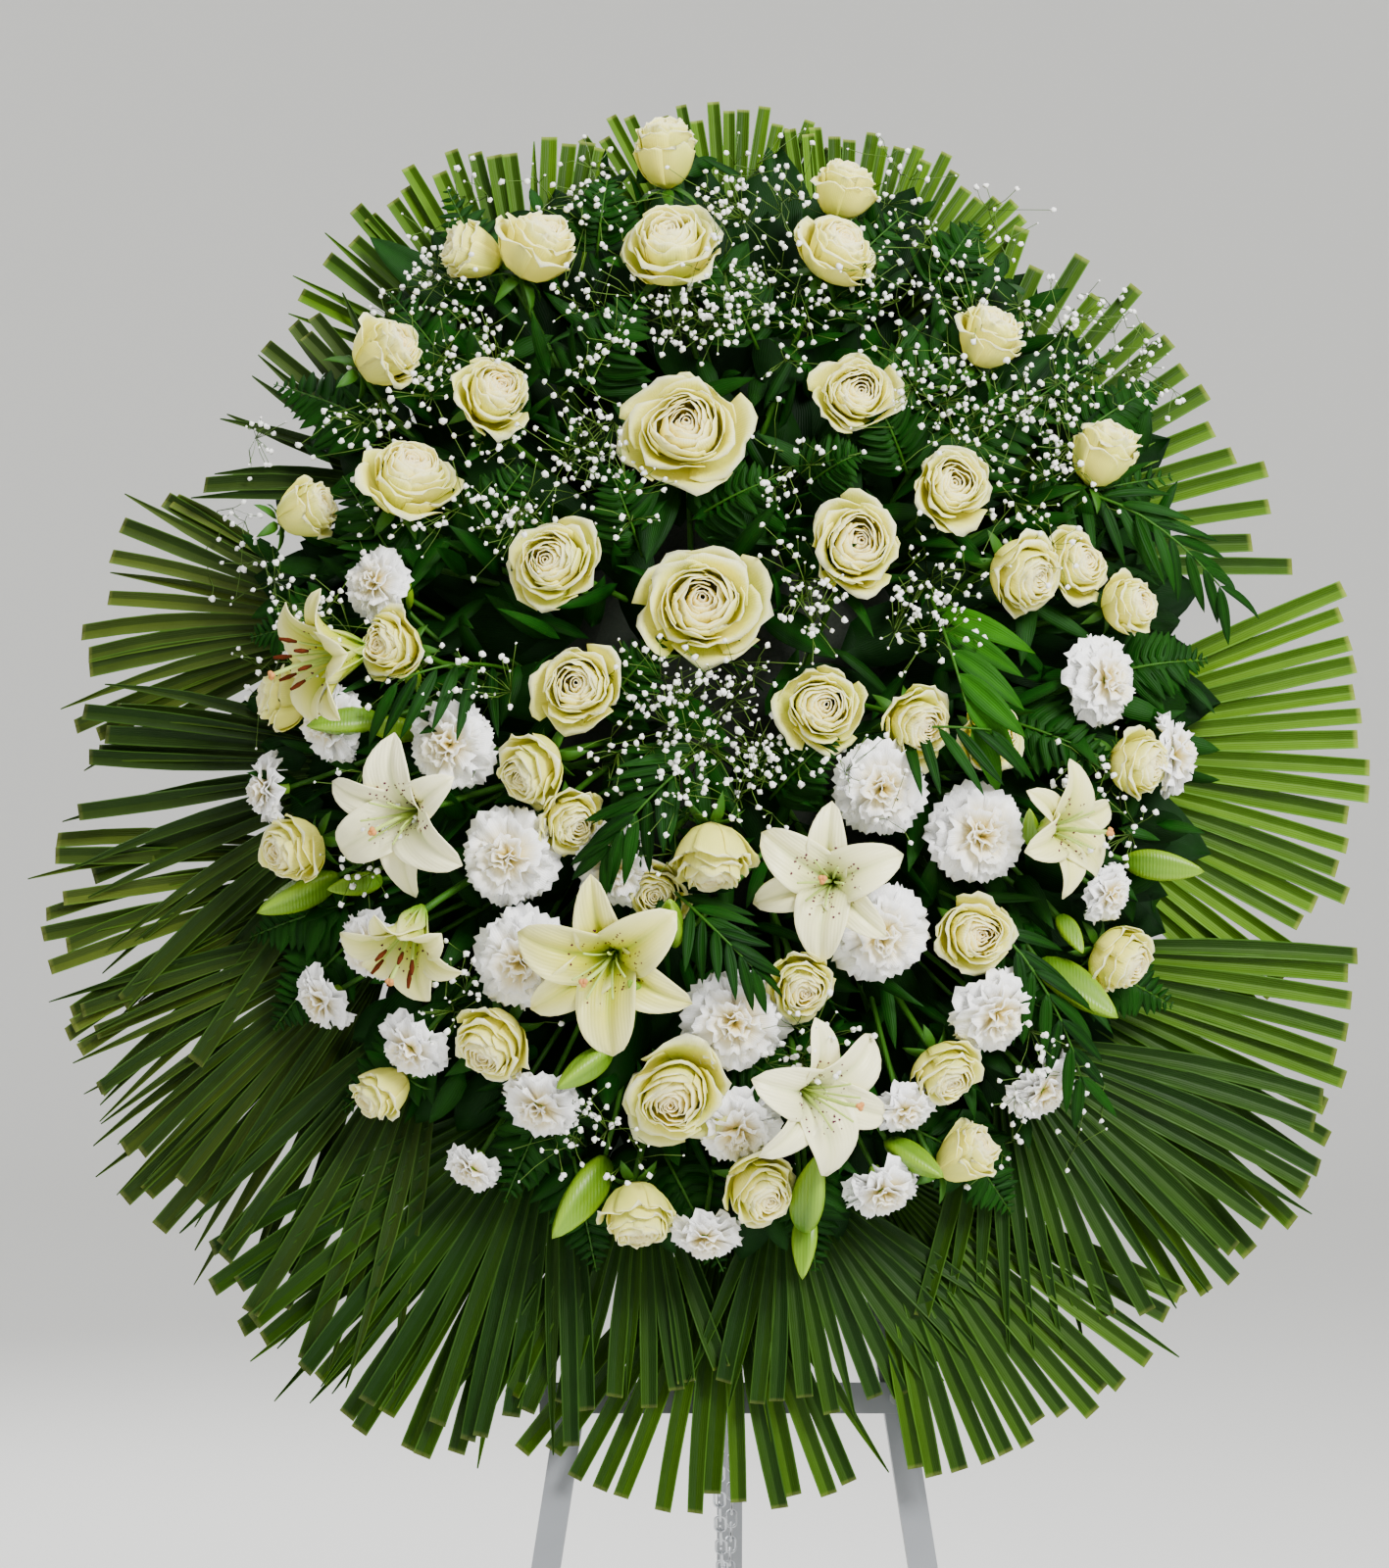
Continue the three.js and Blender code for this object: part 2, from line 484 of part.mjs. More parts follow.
// ---------------------------------------------------------------- fan palm fronds
// hub x, z on the drawing, first and last blade's heading, their lengths, number of blades, distance from the board
const FANS = {
  top: { hub: [-4, 300], from: 66, to: 124, long: [200, 232], blades: 7, out: 14 },
  top_right: { hub: [85, 270], from: 44, to: 100, long: [216, 222], blades: 7, out: 26 },
  right_upper: { hub: [140, 104], from: 3, to: 74, long: [336, 318], blades: 12, out: 38 },
  right: { hub: [205, -68], from: -28, to: 29, long: [350, 334], blades: 11, out: 14 },
  right_lower: { hub: [205, -221], from: -55, to: 4, long: [350, 338], blades: 12, out: 26 },
  bottom_right: { hub: [110, -400], from: -78, to: -24, long: [268, 300], blades: 10, out: 38 },
  bottom: { hub: [-8, -440], from: -127, to: -62, long: [280, 262], blades: 11, out: 14 },
  bottom_left: { hub: [-161, -390], from: 212, to: 252, long: [284, 276], blades: 6, out: 26 },
  left_lower: { hub: [-300, -230], from: 212, to: 250, long: [270, 290], blades: 6, out: 14 },
  left: { hub: [-300, -140], from: 176, to: 219, long: [288, 306], blades: 7, out: 38 },
  left_upper: { hub: [-320, 60], from: 146, to: 202, long: [212, 250], blades: 8, out: 26 },
  top_left: { hub: [-165, 240], from: 80, to: 155, long: [245, 240], blades: 10, out: 38 },
};
const FROND = { thick: 2.6, web: 0.5, width: 17 };

/** A fan frond: a flat sheet whose outer half is split into blades with cut ends. */
function fan({ hub, from, to, long, blades, out }) {
  const at = (heading, length) => {
    const a = heading * DEG;
    return seen(hub[0] + length * Math.cos(a), hub[1] + length * Math.sin(a), out);
  };
  const outline = [];
  const step = (to - from) / (blades - 1);
  const spot = (p) => outline.push(new THREE.Vector2(p.x, p.z));
  const inward = from < to ? 1 : -1;
  const inside = Math.hypot(hub[0] / FOAM.halfWide, hub[1] / FOAM.halfTall);
  if (inside > 0.9) {
    const [x, z] = hub.map((v) => (v * 0.85) / inside);
    const across = Math.atan2(hub[1], hub[0]) - 90 * DEG;
    for (const side of [-1, 1]) {
      spot(seen(x + side * inward * 5 * Math.cos(across), z + side * inward * 5 * Math.sin(across), out));
    }
  } else spot(at((from + to) / 2, -14));
  for (let i = 0; i < blades; i++) {
    const heading = from + i * step;
    const length = long[0] + ((long[1] - long[0]) * i) / (blades - 1);
    const half = (FROND.width / 2 / length / DEG) * inward;
    if (i) spot(at(heading - step / 2, length * FROND.web));
    else spot(at(heading - half * 3, length * FROND.web * 0.6));
    spot(at(heading - half, length));
    spot(at(heading + half, length - 4));
  }
  spot(at(to + (FROND.width / long[1] / DEG) * inward * 1.5, long[1] * FROND.web * 0.6));
  const sheet = new THREE.ExtrudeGeometry(new THREE.Shape(outline), { depth: FROND.thick, bevelEnabled: false });
  return sheet.rotateX(Math.PI / 2).translate(0, BOARD_FRONT - out, 0);
}

for (const [name, spec] of Object.entries(FANS)) {
  const leaf = largest(solid(fan(spec)).subtract(moundCutter));
  add(frontFrame, `palm_fan_${name}`, surface(leaf), palmGreen);
}

// ---------------------------------------------------------------- arching feather frond
const FEATHER = { start: [215, 190], end: [435, 60], out: [70, 95], leaflets: 7, long: 74 };

/** A feather frond: a curved rib with a row of narrow leaflets on each side. */
function feather() {
  const start = seen(...FEATHER.start, FEATHER.out[0]);
  const end = seen(...FEATHER.end, FEATHER.out[1]);
  const bend = seen((FEATHER.start[0] + FEATHER.end[0]) / 2 + 30, (FEATHER.start[1] + FEATHER.end[1]) / 2 + 55, FEATHER.out[1] + 12);
  const rib = new THREE.QuadraticBezierCurve3(start, bend, end);
  const parts = [solid(wire(rib, 2.4, 5, 6))];
  for (let i = 0; i < FEATHER.leaflets; i++) {
    const t = 0.3 + (0.66 * i) / (FEATHER.leaflets - 1);
    const point = rib.getPoint(t);
    const along = rib.getTangent(t);
    const heading = Math.atan2(along.z, along.x);
    for (const side of [-1, 1]) {
      const half = (FEATHER.long * (1.1 - 0.4 * t)) / 2;
      const blade = new THREE.OctahedronGeometry(1).scale(half, 1.6, 7).translate(half - 2, 0, 0)
        .rotateY(-heading - side * 48 * DEG);
      parts.push(solid(blade.translate(point.x, point.y, point.z)));
    }
  }
  return surface(largest(joined(parts).subtract(moundCutter)));
}
add(frontFrame, 'feather_frond_right', feather(), leafGreen);

// ---------------------------------------------------------------- origin: middle of the underside
root.updateMatrixWorld(true);
const bounds = new THREE.Box3().setFromObject(root, true);
root.position.set(-(bounds.min.x + bounds.max.x) / 2, -(bounds.min.y + bounds.max.y) / 2, -bounds.min.z);

export default root;
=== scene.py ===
"""Dresses a funeral flower spray and its folding tube easel: petals, leaves, baby's breath and metal.

Every shape is worked out in millimetres in the row's own frame: x to the right, z up, the flowers face -y.
"""

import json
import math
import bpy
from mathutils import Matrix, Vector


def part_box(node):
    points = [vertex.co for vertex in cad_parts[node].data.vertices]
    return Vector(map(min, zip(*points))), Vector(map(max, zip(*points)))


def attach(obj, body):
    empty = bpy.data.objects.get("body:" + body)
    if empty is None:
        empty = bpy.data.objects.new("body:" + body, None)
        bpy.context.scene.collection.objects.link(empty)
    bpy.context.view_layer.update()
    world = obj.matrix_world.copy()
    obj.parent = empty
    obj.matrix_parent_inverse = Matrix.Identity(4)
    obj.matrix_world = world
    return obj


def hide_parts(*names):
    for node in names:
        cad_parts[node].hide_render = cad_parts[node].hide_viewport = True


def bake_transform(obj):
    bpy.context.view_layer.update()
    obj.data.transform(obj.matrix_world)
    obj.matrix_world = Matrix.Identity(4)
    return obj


bl_info = {
    "name": "Funeral Spray",
    "version": (1, 0, 0),
    "blender": (4, 5, 0),
    "location": "View3D > Sidebar > Spray",
    "description": "Dresses a funeral spray on its easel with petals, leaves and metal",
    "category": "Object",
}

import bpy
import numpy as np

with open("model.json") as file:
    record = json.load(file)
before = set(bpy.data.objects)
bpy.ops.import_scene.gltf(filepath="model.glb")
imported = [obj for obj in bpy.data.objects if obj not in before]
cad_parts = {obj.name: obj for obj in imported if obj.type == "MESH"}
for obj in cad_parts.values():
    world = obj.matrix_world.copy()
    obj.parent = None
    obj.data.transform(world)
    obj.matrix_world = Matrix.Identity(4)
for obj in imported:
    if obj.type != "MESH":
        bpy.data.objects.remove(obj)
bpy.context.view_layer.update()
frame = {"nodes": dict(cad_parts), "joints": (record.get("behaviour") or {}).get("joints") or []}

MM = 0.001
FRONT, REAR = "front_frame", "rear_leg"


# ---------------------------------------------------------------- settings
def linear(code):
    """An sRGB hex colour as linear light, with an alpha of one."""
    value = np.array([int(code[i:i + 2], 16) for i in (1, 3, 5)]) / 255
    light = np.where(value <= 0.04045, value / 12.92, ((value + 0.055) / 1.055) ** 2.4)
    return np.append(light, 1.0)


def colour(name, description, code):
    """A colour setting, its default from a hex code."""
    return bpy.props.FloatVectorProperty(
        name=name, description=description, subtype="COLOR", size=4, min=0, max=1,
        default=tuple(linear(code)))


def length(name, description, millimetres):
    """A length setting, its default in millimetres."""
    return bpy.props.FloatProperty(
        name=name, description=description, unit="LENGTH", min=0.0, default=millimetres * MM)


class SpraySizes(bpy.types.PropertyGroup):
    """Sizes that a florist or a fitter would change."""

    petal_thick: length("Petal thickness", "Thickness of rose and carnation petals", 0.6)
    tepal_thick: length("Tepal thickness", "Thickness of lily tepals", 1.0)
    sepal_thick: length("Sepal thickness", "Thickness of the sepals below a rose", 0.8)
    leaf_thick: length("Leaf thickness", "Thickness of leaves and palm blades", 0.6)
    blade_width: length("Blade width", "Width of a palm blade past the split", 16.0)
    rose_stem: length("Rose stem", "Radius of a rose stem", 2.8)
    thin_stem: length("Thin stem", "Radius of carnation and lily bud stems", 2.3)
    lily_stem: length("Lily stem", "Radius of a lily's main stem", 3.2)
    breath_size: length("Baby's breath blossom", "Radius of a full blossom", 2.7)
    breath_stem: length("Baby's breath stem", "Radius of the finest stems", 0.38)
    link_pitch: length("Chain pitch", "Distance from one chain link to the next", 15.0)
    link_wire: length("Chain wire", "Radius of the wire of a chain link", 1.25)
    chain_sag: length("Chain sag", "How far the slack chain hangs below its eyes", 205.0)


class SprayColours(bpy.types.PropertyGroup):
    """Colours of petals, leaves and finishes."""

    rose_cream: colour("Rose cream", "Open part of a rose petal", "#fff76c")
    rose_heart: colour("Rose heart", "Petals at the middle of a rose", "#ffc45c")
    # a painted highlight: the pale rim colour stands in for light catching each petal's edge
    rose_rim_highlight: colour("Rose rim", "Thin rim of a rose petal", "#fffcc4")
    rose_hollow: colour("Rose hollows", "Deep between the petals, where the light comes through", "#ffe92a")
    rose_green: colour("Rose green", "Foot of the outermost rose petals", "#b4c82a")
    carnation_white: colour("Carnation white", "Open part of a carnation petal", "#ffffff")
    carnation_heart: colour("Carnation heart", "Throat of a carnation petal", "#f3e08a")
    lily_white: colour("Lily white", "Edges of a lily tepal", "#fdf9cf")
    lily_gold: colour("Lily gold", "Warm bloom along a lily tepal", "#d0cc0c")
    lily_throat: colour("Lily throat", "Green of the throat and the middle grooves", "#6c9c06")
    bud_green: colour("Bud green", "Grooves of a lily bud", "#1f5600")
    bud_tip: colour("Bud tip", "Ribs and tip of a lily bud", "#80a800")
    stem: colour("Stem", "Stems, hips and sepals", "#2c5a0c")
    stem_pale: colour("Pale stem", "Stamens, carnation cups and fine stems", "#6f9c2c")
    freckle: colour("Freckle", "Freckles near a lily's throat", "#5e2440")
    pollen: colour("Pollen", "Ripe lily anthers", "#52200a")
    blade_olive: colour("Olive blade", "Palm blades towards the left, in a duller olive", "#535c22")
    # a painted highlight on the folded edges of the blades, stronger on sunny fans
    blade_rim_highlight: colour("Blade rim", "Folded edges of the palm blades", "#5c9420")
    twig: colour("Twig", "Baby's breath twigs", "#4e6e24")
    filament: colour("Filament", "Stamens without their anthers", "#b5cc62")
    stigma: colour("Stigma", "Tip of a lily's style", "#d08a45")
    blade_bright: colour("Blade bright", "Sunny palm blades", "#486c02")
    blade_shade: colour("Blade shade", "Shaded palm blades", "#0a2604")
    blade_cut: colour("Blade cut", "Cut ends and ribs of palm blades", "#a9b450")
    leaf_bright: colour("Leaf bright", "Young fern and parlour palm leaves", "#123c08")
    # dark green leaves, darkened further as painted shade where they lie deep in the spray
    leaf_dark: colour("Leaf dark", "Dark leaves between the flowers, darkened further as painted shade", "#021802")
    frond_young: colour("Young frond", "Sunny parlour palm leaflets", "#266002")
    breath: colour("Baby's breath", "Blossoms of baby's breath", "#fbfbf7")
    easel: colour("Easel", "Powder coat of the tubes", "#84878b")
    zinc: colour("Zinc", "Bolts, straps, pin and chain", "#b9bcc0")
    rubber: colour("Rubber", "Feet", "#2a2a2c")
    wood: colour("Plywood", "Board behind the foam", "#b98f5f")
    # painted shade: the soaked foam's green is darkened further, as it lies in shadow behind the flowers
    foam: colour("Foam", "Soaked floral foam, darkened as painted shade", "#0d1807")
    floor: colour("Floor", "Floor and backdrop", "#eeeeeb")


def size_of(name):
    """A size from the settings, in millimetres."""
    return getattr(bpy.context.scene.spray_sizes, name) / MM


def tone(name):
    """A colour from the settings."""
    return np.array(getattr(bpy.context.scene.spray_colours, name))


# ---------------------------------------------------------------- the front frame and places in the spray
# the front frame leans back; the hinge's place in it and in the row fixes where it stands
LEAN = math.radians(9)
HINGE_IN_FRAME = np.array([0.0, 38.0, 1560.0])
HINGE = np.array(frame["joints"][0]["pos_m"]) / MM
LEANING = np.array([
    [1, 0, 0],
    [0, math.cos(LEAN), math.sin(LEAN)],
    [0, -math.sin(LEAN), math.cos(LEAN)],
])
FEET = HINGE - LEANING @ HINGE_IN_FRAME  # the front frame's origin, on the floor between the front feet

BOARD_FRONT = -21.8  # y of the board's face
# the spray's middle: height over the floor, distance out from the board, and place up the leaning frame
MIDDLE, MID_OUT = 1290.0, 140.0
DOME_UP = MIDDLE / math.cos(LEAN) - MID_OUT * math.tan(LEAN)
MID_DEPTH = (BOARD_FRONT - MID_OUT) * math.cos(LEAN) + DOME_UP * math.sin(LEAN)
# the foam's half axes, the middle of its back, and how far over it the stems meet
FOAM, FOAM_CLEAR = np.array([185.0, 120.0, 235.0]), 9.0
HEART = np.array([0, BOARD_FRONT, DOME_UP])
# the viewer's eye: its x and z, how far it is from the spray's middle, and the height that it takes in there
EYE_X, EYE_Z, EYE_AWAY, EYE_TALL = -35.0, 1213.0, 3600.0, 1360.0
# the dome of flower heads: its middle, half width and half height, and how far its rim and crown stand out
DOME_X, DOME_WIDE, DOME_TALL, DOME_RIM, DOME_CROWN = -8.0, 430.0, 510.0, 84.0, 262.0
DOME_TILT = math.radians(68)  # how far the heads at the rim turn outwards


def to_row(points):
    """Points of the leaning front frame carried to the row's frame."""
    return points @ LEANING.T + FEET


def seen(x, z, out):
    """Points of the front frame that are seen at x, z on an upright drawing through the dome's middle.

    Each lies out millimetres from the board, on the line of sight from the eye, so nearer ones sit closer
    to it.
    """
    x, z, out = np.broadcast_arrays(*(np.asarray(a, float) for a in (x, z, out)))
    y = BOARD_FRONT - out
    depth = y * math.cos(LEAN) + (DOME_UP + z) * math.sin(LEAN)
    scale = 1 + (depth - MID_DEPTH) / EYE_AWAY
    height = EYE_Z + (MIDDLE + z - EYE_Z) * scale
    up = (height + y * math.sin(LEAN)) / math.cos(LEAN)
    return np.stack([EYE_X + (x - EYE_X) * scale, y, up], -1)


def dome_reach(x, z):
    """Share of the way from the dome's middle to its rim: an ellipse's radius."""
    return np.hypot((x - DOME_X) / DOME_WIDE, z / DOME_TALL)


def dome_out(x, z):
    """How far the dome of flower heads stands out from the board: an ellipsoid's height over its rim."""
    reach = np.minimum(1, dome_reach(x, z))
    return DOME_RIM + (DOME_CROWN - DOME_RIM) * np.sqrt(1 - reach**2)


def dome_place(share, spin):
    """x and z on the drawing at a share of the way from the dome's middle to its rim, in a direction."""
    return DOME_X + DOME_WIDE * share * np.cos(spin), DOME_TALL * share * np.sin(spin)


def head(x, z, size, push=0, tilt=None, to=None, **_):
    """A flower head's centre and facing direction in the front frame, and its radius.

    Heads turn outwards more and more towards the rim, unless a tilt and the direction to turn to are given.
    """
    reach = min(1, dome_reach(x, z))
    lean = DOME_TILT * reach**1.6 if tilt is None else math.radians(tilt)
    heading = math.atan2(z / DOME_TALL, (x - DOME_X) / DOME_WIDE) if to is None else math.radians(to)
    facing = np.array([
        math.sin(lean) * math.cos(heading), -math.cos(lean), math.sin(lean) * math.sin(heading)]) @ LEANING
    return seen(x, z, dome_out(x, z) + push), facing, size / 2


def on_foam(place):
    """Where stems meet: just over the foam, on the ray from the middle of the foam's back to a place."""
    ray = place - HEART
    return HEART + ray / np.linalg.norm(ray / FOAM) + normal(ray) * FOAM_CLEAR


# ---------------------------------------------------------------- numbers
def normal(vectors):
    """Vectors brought to length one."""
    return vectors / np.maximum(np.linalg.norm(vectors, axis=-1, keepdims=True), 1e-9)


def bezier(a, b, c, d, s):
    """The cubic curve through four control values at s from 0 to 1."""
    return (1 - s) ** 3 * a + 3 * (1 - s) ** 2 * s * b + 3 * (1 - s) * s**2 * c + s**3 * d


def arc(a, b, c, s):
    """The quadratic curve through three control values at s from 0 to 1."""
    return (1 - s) ** 2 * a + 2 * (1 - s) * s * b + s**2 * c


def mix(a, b, amount):
    """Colours a and b mixed, amount from 0 to 1 for each point."""
    amount = np.clip(np.asarray(amount, float), 0, 1)[..., None]
    return a * (1 - amount) + b * amount


def around(angle):
    """Unit vectors at an angle in the x, y plane."""
    return np.stack([np.cos(angle), np.sin(angle), 0 * angle], -1)


def turned_to(facing, roll=0.0):
    """The rotation that carries +z to facing, after a roll about it."""
    f = normal(np.asarray(facing, float))
    x = normal(np.cross([0, 0, 1] if abs(f[2]) < 0.9 else [0, 1, 0], f))
    c, s = math.cos(roll), math.sin(roll)
    return np.stack([x, np.cross(f, x), f], 1) @ np.array([[c, -s, 0], [s, c, 0], [0, 0, 1]])


def stacked(*values):
    """Arrays of any shapes that fit together, as the last axis of one array."""
    return np.stack(np.broadcast_arrays(*values), -1)


# ---------------------------------------------------------------- surfaces
def shells(points, thick):
    """Thin closed leaves from grids (k, a, b, 3).

    Each grid is moved half the thickness along both of its normals, and the two are sewn together round the
    border.
    """
    k, a, b, _ = points.shape
    n = normal(np.cross(np.gradient(points, axis=1), np.gradient(points, axis=2)))
    both = np.stack([points + n * thick / 2, points - n * thick / 2], 1).reshape(-1, 3)
    index = np.arange(k * 2 * a * b).reshape(k, 2, a, b)
    front, back = index[:, 0], index[:, 1]
    fq = np.stack([front[:, :-1, :-1], front[:, 1:, :-1], front[:, 1:, 1:], front[:, :-1, 1:]], -1)
    bq = np.stack([back[:, :-1, :-1], back[:, :-1, 1:], back[:, 1:, 1:], back[:, 1:, :-1]], -1)

    def border(i):
        return np.concatenate([i[:, :, 0], i[:, -1, 1:], i[:, -2::-1, -1], i[:, 0, -2:0:-1]], 1)

    f, g = border(front), border(back)
    rim = np.stack([np.roll(f, -1, 1), f, g, np.roll(g, -1, 1)], -1)
    return both, np.concatenate([q.reshape(-1, 4) for q in (fq, bq, rim)]), np.zeros((0, 3), int)


def swept(rings, start, end):
    """Closed bodies from rings (k, n, s, 3) that turn about their line of travel, a pole at each end."""
    k, n, s, _ = rings.shape
    points = np.concatenate([rings.reshape(-1, 3), start.reshape(-1, 3), end.reshape(-1, 3)])
    index = np.arange(k * n * s).reshape(k, n, s)
    after = np.roll(index, -1, 2)
    quads = np.stack([index[:, :-1], after[:, :-1], after[:, 1:], index[:, 1:]], -1).reshape(-1, 4)
    first = np.broadcast_to((k * n * s + np.arange(k))[:, None], (k, s))
    last = first + k
    tris = np.concatenate([
        np.stack([first, after[:, 0], index[:, 0]], -1).reshape(-1, 3),
        np.stack([last, index[:, -1], after[:, -1]], -1).reshape(-1, 3)])
    return points, quads, tris


STEM_SIDE = np.array([0.31, 0.12, 0.94])  # a direction along which no stem runs


def tubes(paths, radius, sides=6):
    """Round stems along paths (k, n, 3): a ring square to the path at each station, poles at the ends."""
    tangent = normal(np.gradient(paths, axis=1))
    across = normal(np.cross(tangent, STEM_SIDE))
    other = np.cross(tangent, across)
    angle = np.linspace(0, 2 * np.pi, sides, endpoint=False)[:, None]
    radius = np.broadcast_to(np.asarray(radius, float), paths.shape[:2])[..., None, None]
    rings = paths[:, :, None] + radius * (
        np.cos(angle) * across[:, :, None] + np.sin(angle) * other[:, :, None])
    return swept(rings, paths[:, 0], paths[:, -1])


def lathe(radii, heights, sides, lobes=0, depth=0.0):
    """One body turned about z from radii and heights, whose poles are the first and last heights.

    With lobes, the radius swells and shrinks with the cosine of that many turns.
    """
    angle = np.linspace(0, 2 * np.pi, sides, endpoint=False)
    r = np.asarray(radii)[1:-1, None] * (1 + depth * np.cos(lobes * angle))
    z = np.broadcast_to(np.asarray(heights)[1:-1, None], r.shape)
    rings = np.stack([r * np.cos(angle), r * np.sin(angle), z], -1)[None]
    return swept(rings, np.array([[0, 0, heights[0]]]), np.array([[0, 0, heights[-1]]]))


def balls(centres, radii, sides, bands, rng, crumple):
    """Small crumpled balls (k): rings between two poles, whose points move in and out at random."""
    k = len(centres)
    lat = np.linspace(0, np.pi, bands + 1)[1:-1][None, :, None]
    lon = np.linspace(0, 2 * np.pi, sides, endpoint=False)[None, None, :] + rng.uniform(0, 6, (k, 1, 1))
    r = radii[:, None, None] * (1 + crumple * rng.uniform(-1, 1, (k, bands - 1, sides)))
    out = r * np.sin(lat)
    rings = stacked(out * np.cos(lon), out * np.sin(lon), -r * np.cos(lat))
    turn = normal(rng.normal(size=(k, 3)))
    side = normal(np.cross(turn, [0.2, 0.5, 0.8]))
    basis = np.stack([side, np.cross(turn, side), turn], 1)
    rings = np.einsum("knsi,kij->knsj", rings, basis) + centres[:, None, None]
    pole = turn * (radii * (1 - crumple * 0.6))[:, None]
    return swept(rings, centres - pole, centres + pole)


def lance(v, widest=0.4):
    """Half width of a lance-shaped leaf along its length: a skewed sine arch that ends in a point."""
    return np.sin(np.pi * v ** (math.log(0.5) / math.log(widest))) ** 0.8


def toothed(v):
    """Half width of a fern leaflet: a lance shape whose edge swells into rounded lobes."""
    return lance(v, 0.3) * (0.68 + 0.32 * np.cos(v * 38))


def blades(base, along, face, length, width, outline, bend, fold, cells):
    """Leaf blades as grids (k, a, b, 3) with their u across and v along.

    Each runs from base in the direction along, bends away from face with the square of the distance, has
    half the width times outline(v), and is folded upwards along its midrib by fold.
    """
    def column(values):
        return np.asarray(values, float).reshape(-1, 1, 1, 1)

    a = normal(np.asarray(along, float))
    n = normal(face - (face * a).sum(-1, keepdims=True) * a)
    a, n, side, base = (w[:, None, None] for w in (a, n, np.cross(a, n), np.asarray(base, float)))
    u = np.linspace(-1, 1, cells[0])[None, :, None, None]
    v = np.linspace(0, 1, cells[1])[None, None, :, None]
    length, bend = column(length), column(bend)
    half = column(width) / 2 * outline(v)
    lift = fold * half * np.abs(u) - bend * length * v**2
    run = length * (v - 0.18 * np.abs(bend) * v**3)
    return base + a * run + side * u * half + n * lift, u[..., 0], v[..., 0]


def placed(body, turn, centre):
    """A body made about the origin, turned and set at its place in the front frame, carried to the row."""
    points, quads, tris = body
    return to_row(points @ turn.T + centre), quads, tris


# ---------------------------------------------------------------- pieces
class Piece:
    """One finished piece, gathered part by part: points in millimetres, faces, colours, surface places."""

    def __init__(self, name, *materials):
        self.name, self.materials = name, materials
        self.parts, self.count = [], 0

    def add(self, body, tint, surface=None, material=0):
        """Adds one body with its colours and its surface places in millimetres."""
        points, quads, tris = body
        tint = np.broadcast_to(tint, (len(points), 4))
        surface = points[:, [0, 2]] if surface is None else surface
        self.parts.append((points, quads + self.count, tris + self.count, tint, surface, material))
        self.count += len(points)

    def add_grid(self, points, thick, tint, surface, material=0, turn=None, centre=None):
        """Adds thin leaves, one per grid, whose colours and surface places are given on the same grids.

        With a turn and a centre the grids are made about the origin, and otherwise in the front frame.
        """
        grid = points.shape[:3]
        body = shells(points if turn is not None else to_row(points), thick)
        if turn is not None:
            body = placed(body, turn, centre)
        both = [np.stack([w, w], 1).reshape(-1, w.shape[-1]) for w in (
            np.broadcast_to(tint, (*grid, 4)), np.broadcast_to(surface, (*grid, 2)))]
        self.add(body, *both, material)

    def build(self, body, replaces=(), slot=None):
        """Puts the arrays into a mesh in metres, and says what the piece rides on and stands for."""
        points, quads, tris, tints, places = (np.concatenate([p[i] for p in self.parts]) for i in range(5))
        mesh = bpy.data.meshes.new(self.name)
        mesh.vertices.add(len(points))
        mesh.vertices.foreach_set("co", (points * MM).ravel())
        corners = np.concatenate([quads.ravel(), tris.ravel()]).astype(np.int32)
        mesh.loops.add(len(corners))
        mesh.loops.foreach_set("vertex_index", corners)
        starts = np.concatenate([4 * np.arange(len(quads)), 4 * len(quads) + 3 * np.arange(len(tris))])
        mesh.polygons.add(len(starts))
        mesh.polygons.foreach_set("loop_start", starts.astype(np.int32))
        wearing = [np.full(len(p[i]), p[5]) for i in (1, 2) for p in self.parts]
        mesh.polygons.foreach_set("material_index", np.concatenate(wearing).astype(np.int32))
        mesh.polygons.foreach_set("use_smooth", np.ones(len(starts), bool))
        colours = mesh.color_attributes.new("tint", "FLOAT_COLOR", "POINT")
        colours.data.foreach_set("color", tints.ravel())
        mesh.uv_layers.new(name="surface").data.foreach_set("uv", places[corners].ravel())
        mesh.update(calc_edges=True)
        mesh.validate()
        for material in self.materials:
            mesh.materials.append(material())
        made = bpy.data.objects.new(self.name, mesh)
        bpy.context.scene.collection.objects.link(made)
        if body:
            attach(made, body)
        if replaces:
            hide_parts(*replaces)
        return made


def add_stems(piece, paths, radius, sides=6, tint="stem", shade=1.0):
    """Adds round stems along paths (k, n, 3) of the front frame, or one path (n, 3)."""
    paths = to_row(paths.reshape(-1, *paths.shape[-2:]))
    piece.add(tubes(paths, radius, sides), tone(tint) * shade, material=1)


def add_leaves(piece, base, along, face, length, width, rng, tones=("leaf_dark", "leaf_bright"),
               lightest=1.0, outline=lance, bend=(0.0, 0.3), fold=0.2, cells=(5, 9)):
    """Adds leaf blades between a dark tone and a share of the way to a light one.

    A blade's tone differs at random; one half of its fold is lighter as painted light, and it is lighter
    towards the tip and along the midrib.
    """
    dark = tone(tones[0])
    light = mix(dark, tone(tones[1]), lightest)
    k = len(base)
    points, u, v = blades(base, along, face, length, width, outline, rng.uniform(*bend, k), fold, cells)
    # painted light: one half of each blade's fold is lighter
    bright = rng.uniform(0, 1, (k, 1, 1)) * 0.75 + 0.2 * (u < 0) + 0.15 * v
    tint = mix(mix(dark, light, bright), light * 1.3, 0.5 * np.exp(-((u / 0.12) ** 2)) + 0 * v)
    run = np.broadcast_to(np.asarray(length, float), k).reshape(-1, 1, 1)
    span = np.broadcast_to(np.asarray(width, float), k).reshape(-1, 1, 1) / 2
    piece.add_grid(points, size_of("leaf_thick"), tint, stacked(u * span + 0 * v, v * run + 0 * u))


# ---------------------------------------------------------------- materials
WAVE_PERIOD = 2 * math.pi / 20  # a wave texture's bands lie this far apart at scale 1


